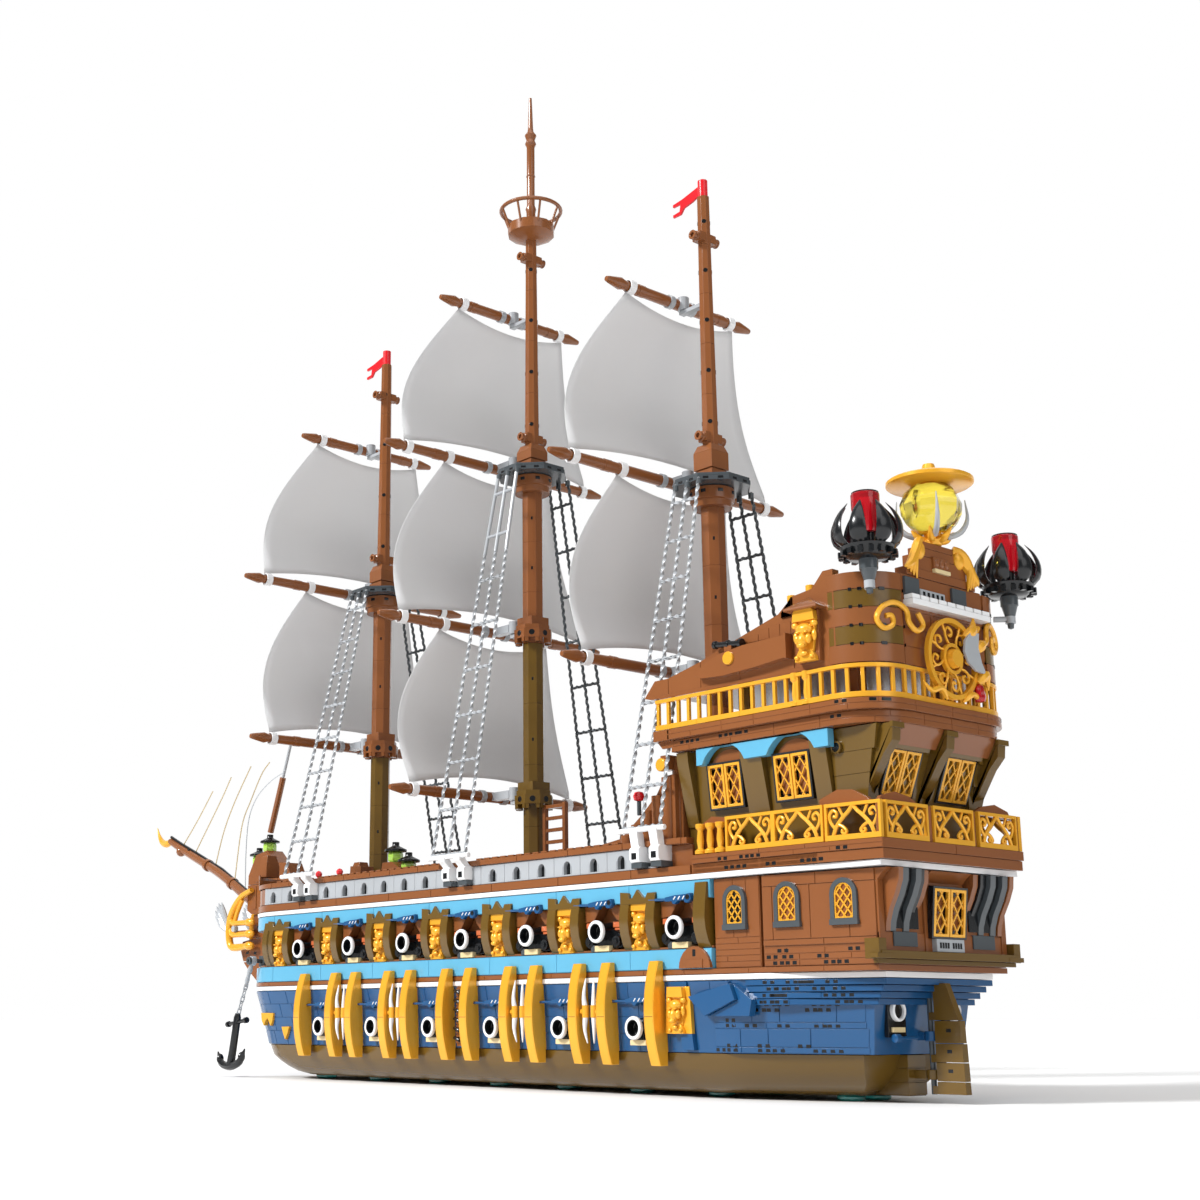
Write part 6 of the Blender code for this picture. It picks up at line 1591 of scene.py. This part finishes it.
CELLS = 20
FILM_THICK = 0.3
for name, spec in MASTS.items():
    for low, high in zip(spec["yards"], spec["yards"][1:]):
        whole_name = "sail_%s_%s" % (name, low[0])
        sail = Pile(whole_name, name + "_yards")
        bm = sail[film]
        stops = range(CELLS + 1)
        grid = [[sail_point(i * 2 / CELLS - 1, j / CELLS, low, high, spec["x"]) for i in stops] for j in stops]
        verts = [[bm.verts.new(p) for p in line] for line in grid]
        for j in range(CELLS):
            for i in range(CELLS):
                bm.faces.new((verts[j][i], verts[j][i + 1], verts[j + 1][i + 1], verts[j + 1][i]))
        across = max(sum((a - b).length for a, b in zip(line, line[1:])) for line in grid)
        along_line = max(sum((grid[j][i] - grid[j + 1][i]).length for j in range(CELLS)) for i in stops)
        area = sum(f.calc_area() for f in bm.faces)
        print(whole_name, round(across, 1), round(along_line, 1), round(area))
        made = sail.finish(0, [whole_name])[0]
        thick = made.modifiers.new("film", "SOLIDIFY")
        thick.thickness = FILM_THICK * MM
        thick.offset = 0
        "yard_%s_%s" % (name, low[0])
        "yard_%s_%s" % (name, high[0])
        round(area / 1e6, 5)
        straps = Pile("straps_%s_%s" % (name, low[0]), name + "_yards")
        for side in (-1, 1):
            for (_, reach, z, _), u, v in ((low, 0.965, 1), (high, 0.93, 0)):
                corner = sail_point(side * u, v, low, high, spec["x"])
                hoop(straps[white], 3.9, 4.9, -2.6, 2.6, at((spec["x"] + reach, corner.y, z), -90, "X"), 18)
        straps.finish(0.15)

# %% [markdown]
# ## Deck and bulwark
# The deck is planked along the ship. Grey panels with small arched openings stand on a brown step and
# carry a notched brown rail, which turns into a plain brown wall at the bow.

# %% Planks, arched panels and rail
deck = Pile("deck_planks")
for k in range(-7, 7):
    y = STUD / 2 + STUD * k
    reach = 150 + sqrt(max(0, 1 - ((abs(y) + 4.5) / 61) ** 2)) * 50
    x = -293 if abs(y) < 52.5 else -205
    while x < reach - 8:
        step = min(dice.choice((32, 48, 64)), reach - x)
        block(deck[brown], x + 0.15, x + step - 0.15, y - 3.85, y + 3.85, 127.5, 127.9)
        x += step
for x, y in ((20, 20), (-30, -20), (-165, 22), (-165, -22)):
    for k in range(-2, 3):
        block(deck[slate], x - 10, x + 10, y + 4.6 * k - 1.2, y + 4.6 * k + 1.2, 127.9, 129.2)
        block(deck[slate], x + 4.6 * k - 1.2, x + 4.6 * k + 1.2, y - 10, y + 10, 127.9, 128.9)
deck.finish(0.1)

edge = Pile("deck_edge")
course(edge[brown], hull_line(64.3, stern=(-293, None)), 122.2, 127.4, -292.6, 208.9, (48, 64), dice, 0.3)
edge.finish(0.15, both=True)

bulwark = Pile("bulwark")
PANEL_STEP = 23.8  # three studs, less a hair
CLAWS = (-10.5, 5.5)  # the two claws of a net, from the middle of its feet
for k in range(19):
    x = 145.4 - PANEL_STEP * k
    if x < -280:
        break
    hole = [(x - 3, 128.6), (x + 3, 128.6)] + arc(x, 133.6, 3, 0, 180, 8)[:-1] + [(x - 3, 133.6)]
    slab(bulwark[stone], [oblong(x - 11.8, x + 11.8, 127.6, 139.5), hole], 60.4, 63.5)
    # A black sheet behind each opening paints the shade inside it.
    slab(bulwark[black], [oblong(x - 4.4, x + 4.4, 127.8, 138.4)], 59.8, 60.5)
    for dx in (-3.9, 3.9):
        block(bulwark[stone], x + dx - 0.3, x + dx + 0.3, 63.4, 63.8, 128.6, 133.6)
bow_wall = hull_line(63.4, 61)
course(bulwark[stone], bow_wall, 127.6, 139.5, 157.4, 157.6, (24,), dice, 0.1)
course(bulwark[brown], bow_wall, 127.6, 139.5, 157.8, 208, (8.1,), dice, 0.25)
rail_line = hull_line(64.6, 61.8)
course(bulwark[brown], rail_line, 139.8, 143.4, -286, 208.6, (24, 32, 48), dice, 0.35)
slab(bulwark[brown], [[(-290, 58.2), (147, 58.2), (147, 64.4), (-290, 64.4)]], 139.7, 143.2, "deck")
slab(bulwark[brown], [[(-290, 57.6), (146, 57.6), (146, 59.6), (-290, 59.6)]], 127.6, 139.6, "deck")
for k in range(50):
    x = 136 - STUD * k
    if all(abs(x - feet - d) > 6.5 for feet, *_ in SHROUDS.values() for d in CLAWS) and x > -240:
        block(bulwark[brown], x - 2.7, x + 2.7, 61.4, 65, 143.3, 144.3)
for x in (87, 60):
    turned(bulwark[red], [(0, 143.6), (1.2, 143.6), (1.2, 144.2), (2.3, 145.2), (2.6, 147), (1.7, 148.4),
        (0, 149.2)], (x, 61.5, 0), 6)
bulwark.finish(0.15, ["bulwark_panels_port", "bulwark_rail"], both=True)
# The course at the deck's edge lies on both sides, so it also stands for the starboard panels.
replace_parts(bpy.data.objects["deck_edge_reddish_brown"], "bulwark_panels_starboard")

claws = Pile("claws")
for x, foot, spread, bar in SHROUDS.values():
    for dx in CLAWS:
        a, b = x + dx - 3.9, x + dx + 3.9
        slab(claws[white], [[(59, 131), (69.6, 131), (70.8, 132.6), (70.8, 138.6), (69, 140.2), (59, 140.2)]], a,
            b, "cross")
        slab(claws[white], [[(64.6, 140), (69.8, 139.6), (foot + 1.6, bar - 3), (foot + 2.2, bar + 0.6),
            (foot - 2.4, bar + 0.6), (foot - 4, bar - 2.4)]], a + 0.7, b - 0.7, "cross")
        block(claws[slate], a - 0.4, b + 0.4, 59, 69, 127.6, 130.8)
        block(claws[black], a + 1.8, b - 1.8, 70.7, 71, 132.6, 136.4)
    rod(claws[white], (x - spread - 4, foot, bar), (x + spread + 4, foot, bar), 1.6, sides=12)
claws.finish(0.25, both=True)

# %% [markdown]
# ## Bow
# The bow rises in upright bricks to a tall ridge with two green lanterns. A thin staff leans forward from
# the ridge, and fine lines run from the bowsprit towards the fore sail.

# %% Stem, ridge, lanterns and bowsprit
bow = Pile("bow")
for stem in ([(205, 58), (236, 64), (258, 72), (272, 81), (282, 89), (268, 89.6), (205, 89.6)],
        [(205, 89.9), (282.4, 89.9), (288, 101), (284, 106), (268, 108), (205, 108)],
        oblong(205, 228, 108.3, 127.5), oblong(228.3, 250, 108.3, 127.5), oblong(250.3, 268, 108.3, 127.5)):
    slab(bow[brown], [stem], -4.9, 4.9)
for x, z in ((262, 95), (274, 95.6), (244, 82), (258, 116)):
    block(bow[black], x, x + 4, -5.05, 5.05, z, z + 2.4)
nose = [(BOW_START + 62.4 * cos(radians(a)), 64.9 * sin(radians(a))) for a in range(66, -67, -6)]
slab(bow[brown], [nose], 143.9, 147.4, "deck")
course(bow[brown], nose[:12], 143.9, 151.8, 172.8, 209.3, (10, 16), dice, 0.15)
ridge = [(214, 128), (268.2, 128), (274, 131), (274, 152), (205, 152), (200, 150.8), (200, 144), (210.3, 144),
    (210.3, 139.4), (214, 139.4)]
slab(bow[brown], [ridge], -7.9, 7.9)
slab(bow[brown], [[(206, 152.3), (274, 152.3), (274, 160), (263, 176.6), (246, 179.4), (233, 168.5),
    (216, 167.3)]], -7.7, 7.7)
slab(bow[brown], [[(228, 154), (262, 154), (270, 162), (262, 175.4), (247, 178), (235, 168)]], -8.3, 8.3)
for x in (222, 236, 250, 262):
    block(bow[brown], x - 2.4, x + 2.4, -8.6, 8.6, 132, 150.6)
for x in (229, 243):
    block(bow[black], x - 0.8, x + 0.8, -8, 8, 134, 149)
for side in (-1, 1):
    skin(bow[brown], [[(184 + u * s, side * 44 + v * s, z) for u, v in ((-1, -1), (1, -1), (1, 1), (-1, 1))]
        for s, z in ((6, 151), (6, 160), (4, 168))])
    block(bow[gold], 186, 190.4, side * 42.4, side * 45.6, 160, 166)


def lantern(x, y, top, neck=False):
    """A green lantern under a black cap, with a black neck below it if it has one."""
    turned(bow[black], [(0, top), (2.6, top), (2.6, top - 2.4), (3, top - 3), (8.2, top - 5.4), (8.2, top - 7),
        (5, top - 7.6), (0, top - 7.6)], (x, y, 0), 20)
    turned(bow[neon], [(0, top - 7.7), (5.2, top - 7.7), (5.6, top - 8.6), (5.6, top - 13.2), (4.6, top - 14.6),
        (0, top - 14.6)], (x, y, 0), 6)
    if neck:
        turned(bow[black], [(0, top - 14.7), (5.4, top - 14.7), (5.4, top - 18.2), (3.6, top - 18.8),
            (0, top - 18.8)], (x, y, 0), 16)


lantern(270, 0, 183.5, neck=True)
turned(bow[gold], [(0, 164.6), (4.4, 164.6), (1.9, 161.4), (1.9, 160.4), (4.4, 157), (0, 157)], (272, 0, 0), 16)
lantern(254, 0, 193.5)
rod(bow[brown], (253.7, 0, 195.3), (236.7, 0, 239.8), 2.7, sides=8)
rod(bow[stone], (236.8, 0, 239.4), (226.3, 0, 267), 1.3, sides=10)
for y in (20, -20):
    if y > 0:
        lantern(48.4, y, 169.7, neck=True)
        lantern(32.2, y, 161)
    skin(bow[brown], [[(x0, y - 8, z), (x1, y - 8, z), (x1, y + 8, z), (x0, y + 8, z)]
        for x0, x1, z in ((56.2, 26, 127.9), (56.2, 26, 146), (54, 42.6, 154.6))])
    skin(bow[brown], [[(84.3, y - 6, z0), (x1, y - 6, z1), (x1, y + 6, z1), (84.3, y + 6, z0)]
        for x1, z0, z1 in ((100, 127.9, 127.9), (98, 154.4, 155.2))])
bow.finish(0.2, ["stem", "bow_block"])

sprit = Pile("sprit")
route = [(276.5, 0, 139.6), (290, 0, 145.5), (332, 0, 166), (378, 0, 183.5), (405, 0, 193.5), (425, 0, 201.5)]
sweep(sprit[brown], through(route, 4), [5 * (1 - 0.45 * (i / 20) ** 1.2) for i in range(21)], 10)
for a, b in zip(route[1:], route[2:]):
    lift = Vector((-1.4, 0, 3.8))
    sweep(sprit[black], [Vector(a) + lift, Vector(b) + lift], 1.3, 6)
ball(sprit[brown], (404, 0, 190.5), 4.5, 14)
for x, z in ((312, 156.3), (355, 174.9)):
    aim = (Vector((378, 0, 183.5)) - Vector((332, 0, 166))).normalized()
    rod(sprit[brown], Vector((x, 0, z)) - aim * 2, Vector((x, 0, z)) + aim * 2, 5.3, sides=16)
rod(sprit[black], (388, -2.2, 190.6), (388, 2.2, 190.6), 1.4, sides=12)
sweep(sprit[gold], through([(423, 0, 201), (432, 0, 199.5), (440, 0, 202), (446, 0, 208), (450.4, 0, 215.8)], 4),
    [2.4, 2.7, 3, 3.2, 3.3, 3.2, 3.1, 2.9, 2.7, 2.4, 2.1, 1.8, 1.5, 1.1, 0.8, 0.6, 0.3], 10)
sprit.finish(0.1, ["bowsprit"])

jib = [
    [(400.8, 0, 195.9), (375.7, 0, 217.1), (351.7, 0, 240.2)],
    [(378.3, 0, 187.6), (336.8, 0, 230.8), (320.9, 0, 249.4)],
    [(343, 0, 171.6), (329.8, 0, 202.9), (312.3, 0, 228.4), (288.5, 0, 255.4)],
    [(309.2, 0, 156.6), (300.2, 0, 204.4), (286.6, 0, 225.9), (270.4, 0, 246.9), (258.6, 0, 255.4)]]
ropes([through(line, 6) for line in jib], 0.55, tan, "jib_lines", twist=0, step=4)
sheet_line = [(291, 0, 148), (292.1, 0, 181.2), (289.3, 0, 209.4), (277.4, 0, 227), (256.2, 0, 238.5),
    (236.4, 0, 244)]
ropes([through(sheet_line, 6)], 0.5, stone, "bow_line", twist=0, step=4)

# %% Gold arms and wings of the figurehead
figure = Pile("figure")
arm = through([(262, 11.4, 147.5), (279, 11.4, 142), (292, 11.4, 130), (296, 11.4, 117), (293, 11.4, 103.6),
    (284, 11.4, 100.6), (266, 11.4, 101.6)], 5)
sweep(figure[gold], arm, [2.2 + 0.9 * sin(pi * i / 30) for i in range(31)], 12)
for lift in (121, 111.6, 101.8):
    ball(figure[gold], (263.5, 11.4, lift), 3.5, 14, (1.9, 1, 1))
    rod(figure[gold], (266, 11.4, lift), (290, 11.4, lift), 2.3, sides=12)
for lift in (121, 111.6):
    sweep(figure[gold], through([(286, 11.4, lift), (291.5, 11.4, lift + 1), (294.5, 11.4, lift + 5)], 3),
        [2.3, 2.4, 2.4, 2.4, 2.3, 2.1, 1.8], 10)
sweep(figure[gold], through([(276, 11.4, 140), (283, 11.4, 131), (288, 11.4, 121)], 4), 2, 10)
rod(figure[stone], (284, 11.4, 116.4), (284, 15, 116.4), 2.6, sides=12)
block(figure[brown], 262, 292, 0.2, 11.6, 110.2, 114.8)
for k, (x, z) in enumerate(((306.5, 139.4), (311.5, 139), (314.6, 136.4), (316.6, 132.8), (316, 128.4),
        (311.5, 123.6))):
    root = Vector((295 + 0.4 * k, 12.6, 119 - 0.9 * k))
    tip = Vector((x, 13.4, z))
    middle = (root + tip) / 2 + Vector((1.2, 0.4, 1))
    sweep(figure[stone], through([root, middle, tip], 4), [1, 1.5, 1.9, 2.2, 2.3, 2.1, 1.7, 1.1, 0.3], 8)
figure.finish(0, ["figurehead"], both=True)

# %% [markdown]
# ## Anchors
# Each anchor hangs on a short lanyard and a chain. The fourth tree lays links along a line and turns
# every second one by a quarter.

# %% Chain tree and anchors
chain, given = new_tree("links along a line", (("Geometry", "Geometry"), ("Link", "Object"), ("Pitch", "Float"),
    ("Plastic", "Material")))
stations = add(chain, "GeometryNodeResampleCurve", {"Curve": given["Geometry"], "Length": given["Pitch"]},
    mode="LENGTH")
ahead = add(chain, "GeometryNodeInputTangent")
facing = add(chain, "FunctionNodeAlignRotationToVector", {"Vector": ahead}, axis="X")
number = add(chain, "GeometryNodeInputIndex")
odd = add(chain, "ShaderNodeMath", {0: number, 1: 2}, operation="MODULO")
quarter = add(chain, "ShaderNodeMath", {0: odd, 1: pi / 2}, operation="MULTIPLY")
roll = add(chain, "ShaderNodeCombineXYZ", {"X": quarter})
turned_by = add(chain, "FunctionNodeEulerToRotation", {"Euler": roll})
both_turns = add(chain, "FunctionNodeRotateRotation", {"Rotation": facing, "Rotate By": turned_by},
    rotation_space="LOCAL")
plant(chain, given, stations, "Link", Rotation=both_turns)

LINK_PITCH = 4.4
for side, side_name in ((1, "port"), (-1, "starboard")):
    body = "anchor_" + side_name
    eye_at = Vector((168, side * 66, 86))
    foot = eye_at + Vector((16, side * 2, -43))
    middle = eye_at.lerp(foot, 0.45)
    anchor = Pile(body + "_iron", body)
    hoop(anchor[stone], 1.9, 3.6, -1.8, 1.8, at(eye_at, 90, "X"))
    sweep(anchor[stone], through([eye_at + Vector((1, 0, -2.6)), eye_at.lerp(foot, 0.25) + Vector((0.5, 0, 0)),
        middle], 5), [1.3, 1.6, 1.9, 2, 1.7, 1.4, 1.6, 1.8, 1.6, 1.2, 0.9], 10)
    crown_at = foot + Vector((7, side * 0.5, -35))
    sweep(anchor[black], [foot + Vector((-0.6, 0, 4)), foot + Vector((0, 0, 1)), foot.lerp(crown_at, 0.5),
        crown_at], [2, 2.9, 3, 3.2], 8)
    sweep(anchor[black], through([crown_at + Vector((-20, 0, 13)), crown_at + Vector((-13, 0, 3.5)), crown_at,
        crown_at + Vector((13, 0, 2)), crown_at + Vector((19, 0, 10.5))], 3),
        [0.5, 1.6, 2.4, 2.7, 2.9, 3.1, 3.2, 3.1, 2.9, 2.7, 2.4, 1.6, 0.5], 8)
    for dx, dz in ((-15.6, 7), (15.4, 5.2)):
        ball(anchor[black], crown_at + Vector((dx, 0, dz)), 2.6, 10, (0.9, 1.15, 1.5))
    rod(anchor[black], foot + Vector((-13, 0, -1)), foot + Vector((13, 0, -4)), 1.5, sides=12)
    for dx, dz in ((-12.6, -1), (12.6, -4), (0, -2.5)):
        aim = Vector((26, 0, -3)).normalized()
        rod(anchor[black], foot + Vector((dx, 0, dz)) - aim * 1.4, foot + Vector((dx, 0, dz)) + aim * 1.4, 2.3,
            sides=12)
    anchor.finish(0.1, [body])
    link = Pile(body + "_chain", body)
    oval = [(2.6 * cos(a) + (0.9 if cos(a) > 0 else -0.9), 1.45 * sin(a), 0)
        for a in [tau * (k + 0.5) / 12 for k in range(12)]]
    sweep(link[stone], oval, 0.5, 6, closed=True)
    piece = link.finish(0)[0]
    piece.name = body + "_chain"
    values = {"Link": piece, "Pitch": LINK_PITCH * MM, "Plastic": stone}
    belong(run_tree_with(piece, line_object([[middle, foot + Vector((0, 0, 1))]]), chain, values), body, stone)

# %% [markdown]
# ## The helm's stand and the floor
# The helm turns on a grey pin before a brown stand. The floor is a wide disc of pale matt paper. It
# belongs to the picture and not to the toy.

# %% Helm's stand
stand = Pile("helm_post")
for size in ((-319.3, -316.1, -2.9, 2.9, 206.5, 218.4), (-320.6, -314.6, -5, 5, 206.5, 208.6)):
    block(stand[brown], *size)
rod(stand[slate], (-324.2, 0, 215.6), (-318, 0, 215.6), 0.8, sides=10)
stand.finish(0.15, ["helm_stand"])

# %% The floor
floor_mesh = bpy.data.meshes.new("floor")
floor_bm = bmesh.new()
bmesh.ops.create_circle(floor_bm, cap_ends=True, segments=96, radius=60)
floor_bm.to_mesh(floor_mesh)
floor_bm.free()
floor = show("floor", floor_mesh)
paper = bpy.data.materials.new("pale paper floor")
paper.use_nodes = True
paper.node_tree.nodes["Principled BSDF"].inputs["Base Color"].default_value = linear("#ececec")
paper.node_tree.nodes["Principled BSDF"].inputs["Roughness"].default_value = 0.9
floor_mesh.materials.append(paper)
